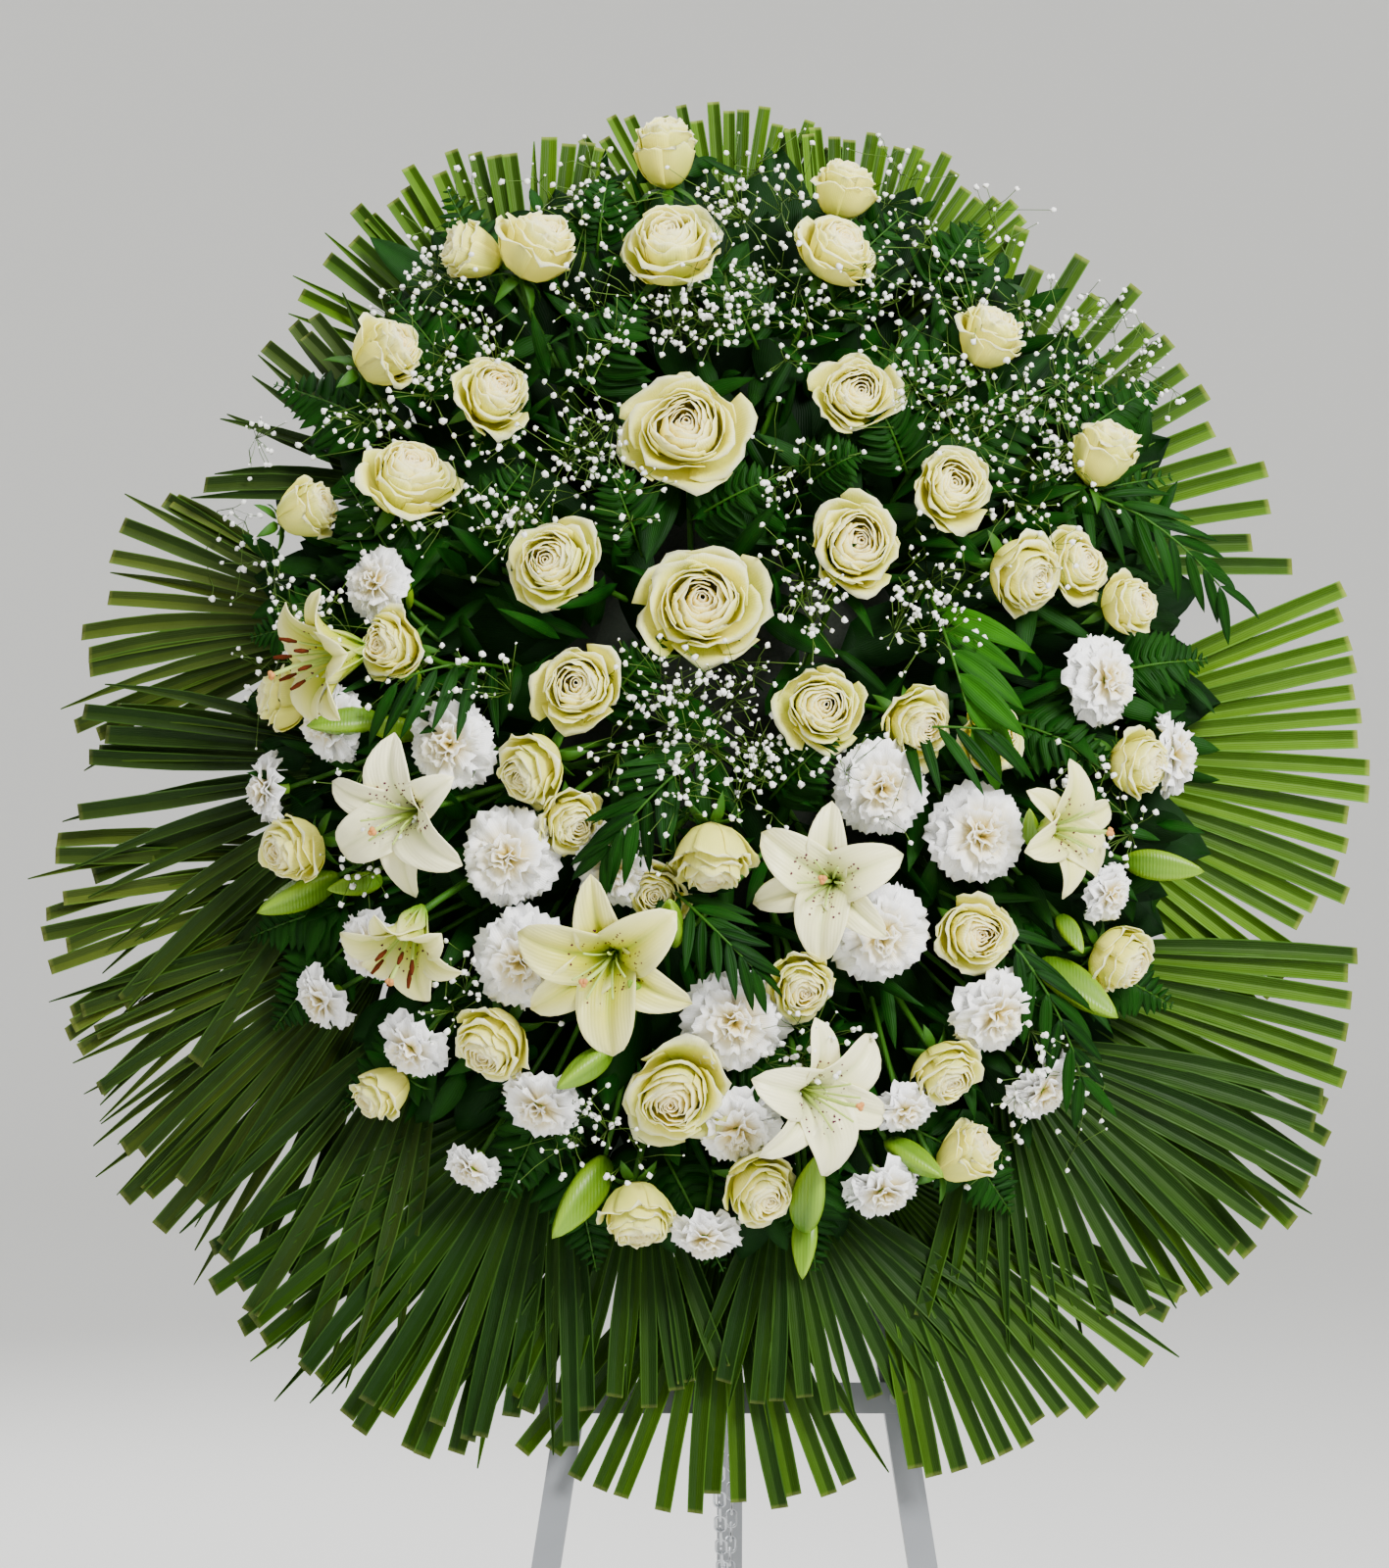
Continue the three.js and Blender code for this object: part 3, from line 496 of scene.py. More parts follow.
def node(tree, kind, inputs=None, **settings):
    """Adds a node, sets its properties and its inputs; an input that is a socket is linked."""
    made = tree.nodes.new(kind)
    for key, value in settings.items():
        setattr(made, key, value)
    for key, value in (inputs or {}).items():
        socket = made.inputs[key]
        if isinstance(value, bpy.types.NodeSocket):
            tree.links.new(value, socket)
        else:
            socket.default_value = value
    return made


def started(name, **sockets):
    """A material with its principled shader's sockets set, or None for the tree if it is made already."""
    known = bpy.data.materials.get(name)
    if known:
        return known, None, None
    material = bpy.data.materials.new(name)
    material.use_nodes = True
    shader = material.node_tree.nodes["Principled BSDF"]
    for key, value in sockets.items():
        shader.inputs[key.replace("_", " ")].default_value = value
    return material, material.node_tree, shader


def relief(tree, shader, height, depth_mm, strength=0.6):
    """Joins a height to the shader as relief of a depth in millimetres."""
    bump = node(tree, "ShaderNodeBump", {"Height": height, "Distance": depth_mm * MM, "Strength": strength})
    tree.links.new(bump.outputs["Normal"], shader.inputs["Normal"])


def noise(tree, size_mm, detail=3.0):
    """Cloudy noise on the object's own coordinates, its lumps about a size in millimetres."""
    place = node(tree, "ShaderNodeTexCoord")
    return node(tree, "ShaderNodeTexNoise", {
        "Vector": place.outputs["Object"], "Scale": 1 / (size_mm * MM), "Detail": detail}).outputs["Fac"]


def two_tones(tree, shader, share, dark, light):
    """Joins a colour to the shader that runs from dark to light with a share from 0 to 1."""
    colours = node(tree, "ShaderNodeMix", {0: share, 6: tuple(dark), 7: tuple(light)}, data_type="RGBA")
    tree.links.new(colours.outputs[2], shader.inputs["Base Color"])


def plant_skin(name, cloud_mm, vein_mm, vein_depth_mm, mottle, **sockets):
    """The mesh's tint with a soft mottle, and fine veins along the petal or leaf as relief."""
    material, tree, shader = started(name, **sockets)
    if shader is None:
        return material
    tint = node(tree, "ShaderNodeVertexColor", layer_name="tint")
    shade = node(tree, "ShaderNodeMapRange", {
        "Value": noise(tree, cloud_mm), "To Min": 1 - mottle, "To Max": 1 + mottle * 0.5})
    scaled = node(tree, "ShaderNodeVectorMath", {
        0: tint.outputs["Color"], "Scale": shade.outputs["Result"]}, operation="SCALE")
    tree.links.new(scaled.outputs["Vector"], shader.inputs["Base Color"])
    surface = node(tree, "ShaderNodeUVMap", uv_map="surface")
    lines = node(tree, "ShaderNodeTexWave", {
        "Vector": surface.outputs["UV"], "Scale": WAVE_PERIOD / vein_mm, "Distortion": 2.5, "Detail": 2.0,
        "Detail Scale": 0.3})
    relief(tree, shader, lines.outputs["Fac"], vein_depth_mm)
    return material


def rose_petal():
    """Rose petal, fresh: velvety cells scatter light softly, and thin edges let a little through."""
    return plant_skin(
        "rose petal fresh", 14, 2.2, 0.2, 0.07, Roughness=0.55, Subsurface_Weight=0.5,
        Subsurface_Radius=(1.0, 0.85, 0.4), Subsurface_Scale=0.008, Specular_IOR_Level=0.25)


def carnation_petal():
    """Carnation petal, fresh: thin matte tissue, slightly translucent, with fine straight veins."""
    return plant_skin(
        "carnation petal fresh", 8, 1.6, 0.3, 0.05, Roughness=0.65, Subsurface_Weight=0.2,
        Subsurface_Radius=(1.0, 1.0, 0.95), Subsurface_Scale=0.004, Specular_IOR_Level=0.25)


def lily_petal():
    """Lily tepal, fresh: firm waxy tissue with a satin gloss and long veins."""
    return plant_skin(
        "lily tepal fresh", 16, 2.8, 0.25, 0.06, Roughness=0.42, Subsurface_Weight=0.12,
        Subsurface_Radius=(1.0, 1.0, 0.6), Subsurface_Scale=0.003, Specular_IOR_Level=0.45)


def stem_green():
    """Cut green stem and calyx: smooth waxy skin with a dull gloss."""
    return plant_skin("stem skin green", 9, 1.5, 0.2, 0.25, Roughness=0.5, Specular_IOR_Level=0.2)


def palm_leaf():
    """Fan palm blade, fresh cut: tough ribbed skin, satin, with fine veins along the blade."""
    return plant_skin("fan palm blade fresh", 22, 1.8, 0.3, 0.25, Roughness=0.52, Specular_IOR_Level=0.14)


def dark_leaf():
    """Parlour palm and leatherleaf leaves, fresh: dark, waxy and lightly ribbed."""
    return plant_skin("leaf dark waxy", 16, 2.2, 0.3, 0.3, Roughness=0.5, Specular_IOR_Level=0.06)


def breath_white():
    """Baby's breath blossom: crumpled papery petals, plain matte white."""
    return plant_skin("baby's breath papery", 3, 1.0, 0.15, 0.08, Roughness=0.75, Specular_IOR_Level=0.25)


def pollen_dust():
    """Pollen on ripe anthers: dry brown dust without gloss."""
    return plant_skin("anther pollen", 1.5, 0.8, 0.2, 0.35, Roughness=0.9, Specular_IOR_Level=0.1)


def hard_finish(name, base, grain_mm, roughness, metallic, depth_mm, spread=0.12):
    """A finish whose colour varies with a slow cloud, and gloss and relief with a fine grain."""
    material, tree, shader = started(name, Metallic=metallic, Roughness=roughness)
    if shader is None:
        return material
    dark, light = tone(base) * (1 - spread), np.minimum(tone(base) * (1 + spread), 1)
    two_tones(tree, shader, noise(tree, 60, 2.0), dark, light)
    fine = noise(tree, grain_mm, 4.0)
    gloss = node(tree, "ShaderNodeMapRange", {
        "Value": fine, "To Min": roughness * 0.75, "To Max": min(1, roughness * 1.25)})
    tree.links.new(gloss.outputs["Result"], shader.inputs["Roughness"])
    relief(tree, shader, fine, depth_mm, 0.5)
    return material


def easel_paint():
    """Square steel tube, powder coated grey: satin with a faint orange-peel."""
    return hard_finish("steel tube powder coated grey", "easel", 1.2, 0.42, 0.35, 0.08)


def bright_zinc():
    """Steel, zinc plated: a pale grey metal with a soft gloss."""
    return hard_finish("steel zinc plated", "zinc", 2.0, 0.32, 1.0, 0.05)


def foot_rubber():
    """Moulded rubber: near black and dull, lighter and darker in soft patches."""
    return hard_finish("rubber moulded black", "rubber", 1.0, 0.8, 0.0, 0.15, 0.25)


def wet_foam_painted_shade():
    """Floral foam, soaked: open dark green cells, dull and damp, darkened further as painted shade."""
    return hard_finish("floral foam soaked painted shade", "foam", 2.5, 0.85, 0.0, 0.8, 0.35)


def plywood():
    """Birch plywood, sanded: long soft grain in pale tan."""
    material, tree, shader = started("plywood birch sanded", Roughness=0.62)
    if shader is None:
        return material
    place = node(tree, "ShaderNodeTexCoord")
    across, along = 1 / (8 * MM), 1 / (125 * MM)
    drawn = node(tree, "ShaderNodeMapping", {
        "Vector": place.outputs["Object"], "Scale": (across, across, along)})
    grain = node(tree, "ShaderNodeTexNoise", {
        "Vector": drawn.outputs["Vector"], "Scale": 1.0, "Detail": 5.0}).outputs["Fac"]
    two_tones(tree, shader, grain, tone("wood") * 0.8, tone("wood") * 1.15)
    relief(tree, shader, grain, 0.2, 0.4)
    return material


# ---------------------------------------------------------------- flowers
# Each flower has its x and z on the drawing and its width. Its settings are how far it is pushed out, its
# tilt and the direction that it turns to in degrees, and for a rose how open, how warm and how green it is.
ROSES = {
    "top": [(-60, 472, 84, dict(tilt=72, to=92, open=-0.3)), (-57, 393, 92, dict(tilt=42, to=95, open=0.9)),
            (89, 387, 78, dict(tilt=52, to=55, open=0.5)), (95, 440, 72, dict(tilt=72, to=75, open=0.0))],
    "top_left": [(-229, 384, 74, dict(tilt=76, to=160, open=-0.2)),
                 (-172, 391, 86, dict(tilt=64, to=62, open=0.2, green=0.1)),
                 (-210, 262, 77, dict(tilt=34, to=50, warm=0.9, open=0.5))],
    "upper_left": [(-302, 298, 82, dict(tilt=62, to=30, open=-0.1)),
                   (-282, 190, 90, dict(tilt=48, to=62, open=0.6)),
                   (-371, 160, 72, dict(tilt=70, to=20, open=-0.3))],
    "upper_right": [(105, 262, 75, dict(tilt=12, to=60)), (221, 312, 76, dict(tilt=66, to=62, open=0.1)),
                    (320, 210, 80, dict(tilt=72, to=64, open=-0.2)), (189, 181, 78, dict(tilt=18, to=45))],
    "upper_middle": [(-44, 230, 102, dict(tilt=10, to=110, open=0.9)), (-157, 116, 83),
                     (-28, 78, 102, dict(tilt=5, to=90, open=0.9, warm=0.8))],
    "middle": [(104, 130, 94, dict(tilt=8, to=70, warm=0.8)), (75, -11, 81),
               (159, -26, 72, dict(tilt=35, to=-30, warm=0.9))],
    "right": [(252, 105, 80, dict(tilt=45, to=-30)), (298, 115, 66, dict(push=-12)), (342, 79, 64)],
    "middle_left": [(-136, 7, 85), (-177, -65, 75, dict(tilt=50, to=215, green=0.7)),
                    (-142, -109, 64, dict(push=-14, tilt=35, to=-45))],
    "left": [(-299, 43, 68), (-395, -4, 64, dict(tilt=80, to=180)),
             (-384, -134, 74, dict(tilt=55, to=200, open=0.3))],
    "right_side": [(223, -36, 64, dict(push=-10)), (351, -60, 68), (207, -207, 75, dict(tilt=15, to=-20)),
                   (336, -231, 72)],
    "lower_middle": [(-20, -142, 80, dict(push=6, tilt=72, to=-90, open=0.2)),
                     (-66, -172, 60, dict(push=-28)), (58, -251, 65)],
    "lower_right": [(184, -327, 68), (200, -398, 74, dict(tilt=66, to=35, open=-0.3))],
    "bottom": [(-51, -347, 89, dict(tilt=22, to=-100, warm=0.9, open=0.8)),
               (-85, -451, 76, dict(tilt=62, to=-84, open=0.1)),
               (23, -429, 76, dict(tilt=40, to=-50, open=0.5))],
    "bottom_left": [(-211, -303, 77), (-306, -344, 66, dict(tilt=66, to=215, open=-0.2))],
}
CARNATIONS = {
    "left": [(-316, 98, 60, dict(push=-10)), (-357, -26, 66), (-412, -81, 55, dict(tilt=80, to=180))],
    "middle_left": [(-251, -43, 72), (-199, -141, 78, dict(tilt=15, to=190)),
                    (-106, -149, 64, dict(push=-14))],
    "lower_left": [(-187, -234, 81, dict(tilt=20, to=230)), (-322, -222, 62, dict(push=-14)),
                   (-363, -268, 56), (-285, -310, 60)],
    "bottom_left": [(-172, -361, 64), (-231, -415, 48)],
    "bottom": [(0, -286, 82, dict(tilt=12, to=-90)), (2, -382, 70, dict(push=-10)), (-26, -476, 56),
               (130, -435, 62)],
    "middle_right": [(129, -81, 77), (129, -210, 81), (215, -122, 81, dict(tilt=15, to=0))],
    "right": [(327, 13, 72), (387, -51, 66, dict(tilt=78, to=5)), (329, -174, 50)],
    "lower_right": [(231, -280, 72), (272, -347, 62), (149, -364, 50)],
}
# where a bunch's stems meet, moved off the line to the middle of its heads to keep clear of its neighbours
FOOT_SHIFTS = {"rose": (0, 0, 0), "carnation": (0, 20, -16), "carnation_left": (20, 20, 44)}

# Each lily stem has its open flower, whose settings are also how far its tepals rise, how gold and how
# green they are and whether its anthers are left on, and then its buds: x, z, length, tilt, direction and
# how far each is out.
LILIES = [
    ((-352, 34, 150, dict(push=34, tilt=58, to=192, rise=0.45, gold=1.1, green=0.8, pollen=True)),
     [(-338, -24, 62, 70, 185, 206), (-289, 94, 52, 45, 95, 176)]),
    ((-291, -106, 134, dict(push=34, tilt=32, to=200, gold=0.05)),
     [(-378, -172, 74, 75, 205, 128), (-299, -28, 54, 60, 170, 190), (-281, 17, 40, 30, 100, 185)]),
    ((-284, -212, 132, dict(push=36, tilt=54, to=248, rise=0.5, gold=0.9, green=0.8, pollen=True)),
     [(-329, -164, 50, 60, 190, 150)]),
    ((-112, -234, 149, dict(push=26, tilt=18, to=235, gold=1.1, green=0.5)),
     [(-134, -435, 84, 62, 235, 150), (-130, -323, 60, 60, 215, 235), (-84, -259, 42, 40, 120, 250)]),
    ((79, -162, 128, dict(push=16, tilt=12, to=180, green=0.3)), [(-55, -197, 58, 40, 95, 262)]),
    ((75, -349, 136, dict(push=26, tilt=35, to=-20, gold=0.1, green=0.3)),
     [(66, -432, 76, 60, 80, 170), (61, -476, 56, 75, 265, 130), (155, -402, 60, 60, -30, 170)]),
    ((288, -116, 112, dict(push=34, tilt=46, to=0, gold=0.7, green=0.4)),
     [(371, -148, 66, 80, -8, 130), (291, -207, 44, 50, -60, 170), (296, -255, 84, 62, -35, 165),
      (257, -115, 40, 50, 100, 215)]),
]


def listed(entry):
    """A flower's numbers and its settings."""
    return (*entry[:3], entry[3] if len(entry) > 3 else {})


PEG_RADIUS, PEG_SHADE = 5.0, 0.8
PEG_STATIONS = (2, -5, -12)  # along the ray, from just over the stems' meeting place down into the foam


def add_peg(piece, foot):
    """The short thick stub that carries a bunch's stems on the foam."""
    ray = normal(foot - HEART)
    add_stems(piece, foot + ray * np.array(PEG_STATIONS)[:, None], PEG_RADIUS, 8, shade=PEG_SHADE)


def add_head_stem(piece, foot, centre, facing, back, radius):
    """A stem along a quadratic curve, from its foot on the foam to a point behind a head."""
    top = centre - facing * back
    bend = (top - facing * back * 0.7) * 0.75 + foot * 0.25
    add_stems(piece, arc(foot, bend, top, np.linspace(0, 1, 7)[:, None]), radius)


def bunch_foot(kind, name, flowers):
    """A bunch's heads, and the foot where their stems meet below the middle of the heads."""
    heads = [head(x, z, size, **more) for x, z, size, more in map(listed, flowers)]
    shift = FOOT_SHIFTS.get(f"{kind}_{name}", FOOT_SHIFTS[kind])
    return heads, on_foam(np.mean([h[0] for h in heads], 0) + np.array(shift, float))


# ---------------------------------------------------------------- roses
# whorls from the heart out: petals, rim radius and rim height in head radii, half angle
ROSE_WHORLS = ((2, 0.05, 0.42, 2.4), (3, 0.11, 0.46, 1.9), (3, 0.19, 0.50, 1.6), (3, 0.28, 0.53, 1.45),
               (3, 0.37, 0.545, 1.35), (4, 0.47, 0.52, 1.2), (4, 0.60, 0.45, 1.15), (4, 0.80, 0.28, 1.12),
               (5, 1.0, 0.04, 0.92))
HEART_WHORLS = 5
HEART_CELLS, OUTER_CELLS = (8, 5), (11, 7)  # points across and along a petal
ROSE_LOOKS = {"warm": (0.45, 0.95), "green": (0.2, 0.7), "open": (0.2, 0.75)}  # the least and most by chance
ROSE_FULL = 0.97  # the bloom's radius in head radii
ROSE_BACK = 0.8  # the stem's top behind a head's middle, in head radii
SEPALS = 5


def rose_petals(piece, radius, rng, look, turn, centre):
    """Whorls of petals round one another, those of the heart with fewer points."""
    sway = rng.uniform(0, 2 * np.pi, 4), rng.uniform(0.02, 0.15)
    whorls = range(len(ROSE_WHORLS))
    for part, cells in ((whorls[:HEART_WHORLS], HEART_CELLS), (whorls[HEART_WHORLS:], OUTER_CELLS)):
        points, tint, surface = rose_layer(rng, part, cells, sway, look)
        piece.add_grid(points * radius, size_of("petal_thick"), tint, surface * radius, 0, turn, centre)


def rose_layer(rng, whorls, cells, sway, look):
    """The petals of some whorls as grids in head radii, with their colours and their surface places.

    A petal is a piece of a bowl of revolution. Its profile is a cubic curve that hugs the whorl inside it
    and then flares out to its own rim, more from whorl to whorl. One side edge is tucked in and the other
    lies over its neighbour, the rim waves and frills, and the outer petals' sides roll back. Last, the
    whole bloom is swayed off round, its heart most, and its heart is moved off centre.
    """
    (p2, p3, p4, p5), lobes = sway
    warm, green, openness = look
    rows = []
    for w in whorls:
        count, rim, top, half = ROSE_WHORLS[w]
        inner, share = ROSE_WHORLS[max(w - 1, 0)][1], w / (len(ROSE_WHORLS) - 1)
        headings = (np.arange(count) + 0.37 * w) * 2 * np.pi / count + w
        rows += [(rim, top, half, inner, share, heading) for heading in headings]
    rim, top, half, inner, t, heading = (np.array(c)[:, None, None] for c in zip(*rows))

    def jitter(size):
        return rng.uniform(-size, size, rim.shape)

    def frill(share):
        return 0.035 * share * rng.uniform(-1, 1, (len(rows), cells[0], 1))

    u = np.linspace(-1, 1, cells[0])[None, :, None]
    v = (np.linspace(0, 1, cells[1]) ** 0.85)[None, None, :]
    # the rim and the belly of the bowl: the heart stays a bud, the outer whorls flare and lie looser
    wider, loose = 1 + (0.28 * openness - 0.2) * t, 0.3 + 0.7 * t**2
    rim = rim * wider * (1 + jitter(0.12) * loose)
    top = top + (0.5 - openness) * 0.3 * t + jitter(0.07) * loose
    flare = np.clip((t - 0.45) / 0.4, 0, 1)
    s = v * (1 - (0.04 + 0.15 * t) * np.abs(u) ** 3 + 0.04 * t * np.exp(-((u / 0.22) ** 2)))
    belly = (1 - flare) * (rim * 1.3 + 0.06) + flare * (inner * wider + 0.04)
    under = (1 - flare) * (top - 0.22) + flare * (top + 0.17 - 0.1 * t)
    rho = bezier(0.05, belly * 1.05 + 0.06, belly, rim, s)
    z = bezier(-0.82, -0.64, under, top - 0.03 * t, s)
    # one side tucked in, a waved and frilled rim, sides rolled back
    phase, late = jitter(np.pi), s**3.5
    rho = rho * (1 + (0.11 + jitter(0.06)) * u * (0.3 + 0.7 * s))
    rho = rho + (0.1 + t) * late * (0.06 * np.sin(3.7 * u + phase) + 0.026 * np.sin(9 * u - phase))
    z = z + (0.12 + t) * late * (0.07 * np.sin(4.3 * u + 2 * phase) + 0.028 * np.sin(10 * u + phase))
    z = z - 0.17 * t**2 * np.abs(u) ** 3 * s**3 - 0.06 * t * np.exp(-((u / 0.3) ** 2)) * s**6
    rho = rho + frill((0.15 + t) * s**7)
    z = z + frill((0.15 + t) * s**7)
    # turned about the bloom's axis and swayed off round
    angle = heading + jitter(0.24) * loose + u * (half + jitter(0.14) * loose)
    swayed = rho * (1 + 0.06 * np.sin(2 * angle + p2) * t**0.5 + lobes * (1.15 - t) * np.sin(3 * angle + p3))
    z = z + 0.06 * rho * np.sin(2 * angle + p4)
    off = 0.09 * around(np.array(p5)) * (1 - t[..., None]) * s[..., None]
    points = stacked(swayed * np.cos(angle), swayed * np.sin(angle), z) + off
    patch = 0.5 + 0.5 * np.sin(3 * angle + p3 + 2 * z)
    return points, rose_tint(s, t, patch, warm, green), stacked(u * half * rim, v)


def rose_tint(s, t, patch, warm, green):
    """Cream, warm at the heart, a painted yellow glow deep down where light comes through, green patches at
    the outer petals' feet, and a painted highlight at the rim.

    s runs from a petal's foot to its rim, and t from the heart of the bloom to its outermost whorl.
    """
    tint = mix(tone("rose_cream"), tone("rose_heart"), warm * (1.2 - 1.6 * t) * s**1.5)
    # painted glow: yellow deep between the petals, standing in for the light that comes through them
    tint = mix(tint, tone("rose_hollow"), 0.8 * (1.1 - 0.8 * t) * np.clip(1 - s, 0, 1))
    tint = mix(tint, tone("rose_green"), green * (0.3 + 0.7 * t) * np.clip(1.1 - 0.7 * s, 0, 1) * patch)
    # painted highlight along each petal's thin rim
    return mix(tint, tone("rose_rim_highlight"), 0.7 * s**7)


def add_calyx(piece, radius, rng, turn, centre):
    """Pointed sepals that bend away below a bloom."""
    out, up = around(np.arange(SEPALS) * 2 * np.pi / SEPALS + rng.uniform(0, 1)), np.array([0, 0, 1.0])
    base, bend = radius * (out * 0.08 - up * 0.8), rng.uniform(0.3, 0.7, SEPALS)
    points, u, v = blades(base, out - 0.1 * up, up, radius * 0.7, radius * 0.26, lance, bend, 0.2, (3, 6))
    piece.add_grid(points, size_of("sepal_thick"), tone("stem"), stacked(u * 5, v * radius), 1, turn, centre)


def build_roses(rng):
    """Bunches of roses: a peg on the foam, and each rose's petals, calyx and stem."""
    for name, flowers in ROSES.items():
        piece = Piece(f"rose_bunch_{name}", rose_petal, stem_green)
        heads, foot = bunch_foot("rose", name, flowers)
        add_peg(piece, foot)
        for (centre, facing, radius), entry in zip(heads, flowers):
            turn = turned_to(facing, rng.uniform(0, 6))
            look = [listed(entry)[3].get(key, rng.uniform(*usual)) for key, usual in ROSE_LOOKS.items()]
            rose_petals(piece, radius * ROSE_FULL, rng, look, turn, centre)
            add_calyx(piece, radius, rng, turn, centre)
            add_head_stem(piece, foot, centre, facing, radius * ROSE_BACK, size_of("rose_stem"))
        piece.build(FRONT, [f"rose_cluster_{name}"], "rose_petal")


# ---------------------------------------------------------------- carnations
# whorls from the outside in: petals, slope from the axis in degrees, length in head radii
CARNATION_WHORLS = ((7, 98, 1.03), (7, 85, 0.97), (6, 66, 0.84), (5, 42, 0.68), (5, 16, 0.56))
CARNATION_CELLS = (12, 5)
CARNATION_FULL, CARNATION_BACK = 1.08, 0.8  # the bloom's radius and the stem's top, in head radii
# the cup below the petals in head radii, from its foot up, and its five shallow lobes
CUP_RADII, CUP_HEIGHTS = (0, 0.16, 0.2, 0.2, 0.24, 0), (-0.95, -0.93, -0.75, -0.4, -0.2, -0.18)
CUP_SIDES, CUP_LOBES, CUP_LOBE_DEPTH = 10, 5, 0.06


def carnation_petals(piece, radius, rng, turn, centre):
    """Whorls of fan-shaped petals on one another.

    A petal runs out from the throat at its whorl's slope, widens like a fan, waves more and more towards
    its edge, and its edge is cut into small teeth.
    """
    rows = [(math.radians(slope), reach * radius, j * 2 * np.pi / n + w / 2)
            for w, (n, slope, reach) in enumerate(CARNATION_WHORLS) for j in range(n)]
    slope, reach, heading = (np.array(c)[:, None, None] for c in zip(*rows))

    def jitter(low, high):
        return rng.uniform(low, high, slope.shape)

    slope = slope + jitter(-0.14, 0.14)
    reach = reach * jitter(0.92, 1.07)
    heading = heading + jitter(-0.15, 0.15)
    a, b = CARNATION_CELLS
    u = np.linspace(-1, 1, a)[None, :, None]
    v = (np.linspace(0, 1, b) ** 0.8)[None, None, :]
    teeth = 1 + 0.04 * np.where(np.arange(a) % 2, 1, -1)[None, :, None] * v**6
    run = reach * v * teeth * (1 - 0.10 * u**2)
    half_angle, phase = jitter(0.5, 0.68), jitter(-3.1, 3.1)
    wave = 0.13 * v**2 * np.sin(jitter(3.2, 5.0) * u + phase) + 0.075 * v**2 * np.sin(9 * u + 2 * phase)
    wave = reach * (wave - 0.12 * v**2 * np.sin(slope))
    out, up = around(heading), np.array([0, 0, 1.0])
    sine, cosine = np.sin(slope)[..., None], np.cos(slope)[..., None]
    d, n = sine * out + cosine * up, sine * up - cosine * out
    x, y = run * np.cos(half_angle * u), run * np.sin(half_angle * u)
    points = d * x[..., None] + np.cross(n, d) * y[..., None] + n * wave[..., None] - up * 0.22 * radius
    tint = mix(tone("carnation_heart"), tone("carnation_white"), v * 1.45 - 0.75 * np.cos(slope) + 0 * u)
    piece.add_grid(points, size_of("petal_thick"), tint, stacked(y, x), 0, turn, centre)


def build_carnations(rng):
    """Bunches of carnations: a peg on the foam, and each one's petals, cup and stem."""
    for name, flowers in CARNATIONS.items():
        piece = Piece(f"carnation_bunch_{name}", carnation_petal, stem_green)
        heads, foot = bunch_foot("carnation", name, flowers)
        add_peg(piece, foot)
        for centre, facing, radius in heads:
            turn = turned_to(facing, rng.uniform(0, 6))
            carnation_petals(piece, radius * CARNATION_FULL, rng, turn, centre)
            cup = lathe(radius * np.array(CUP_RADII), radius * np.array(CUP_HEIGHTS), CUP_SIDES, CUP_LOBES,
                        CUP_LOBE_DEPTH)
            piece.add(placed(cup, turn, centre), tone("stem_pale"), material=1)
            add_head_stem(piece, foot, centre, facing, radius * CARNATION_BACK, size_of("thin_stem"))
        piece.build(FRONT, [f"carnation_cluster_{name}"], "carnation_petal")


# ---------------------------------------------------------------- lilies
TEPALS, TEPAL_CELLS, FRECKLES = 6, (13, 17), 110
LILY_LOOKS = {"rise": 0.0, "gold": 0.3, "green": 0.15}  # what a flower has unless its settings say more
LILY_FULL, LILY_BACK = 1.05, 0.42  # the flower's radius and the stem's top, in head radii
BUD_FULL, BUD_BACK = 1.1, 0.46  # a bud's length and its stem's top, in listed lengths
FORK = 0.35  # where the buds' stems leave, on the way from the foot to the flower
ANTHER_RUN, ANTHER_RADII = np.array([-5.0, 3.0, 11.0]), np.array([[1.3, 2.3, 1.3]])  # along a filament's tip
# the style's path from the throat, in head radii
STYLE_PATH = np.array([[0, 0, -0.45], [0.02, 0.01, 0.1], [0.05, 0.0, 0.45], [0.1, 0.02, 0.74]])
BUD_RINGS, BUD_SIDES = 12, 24


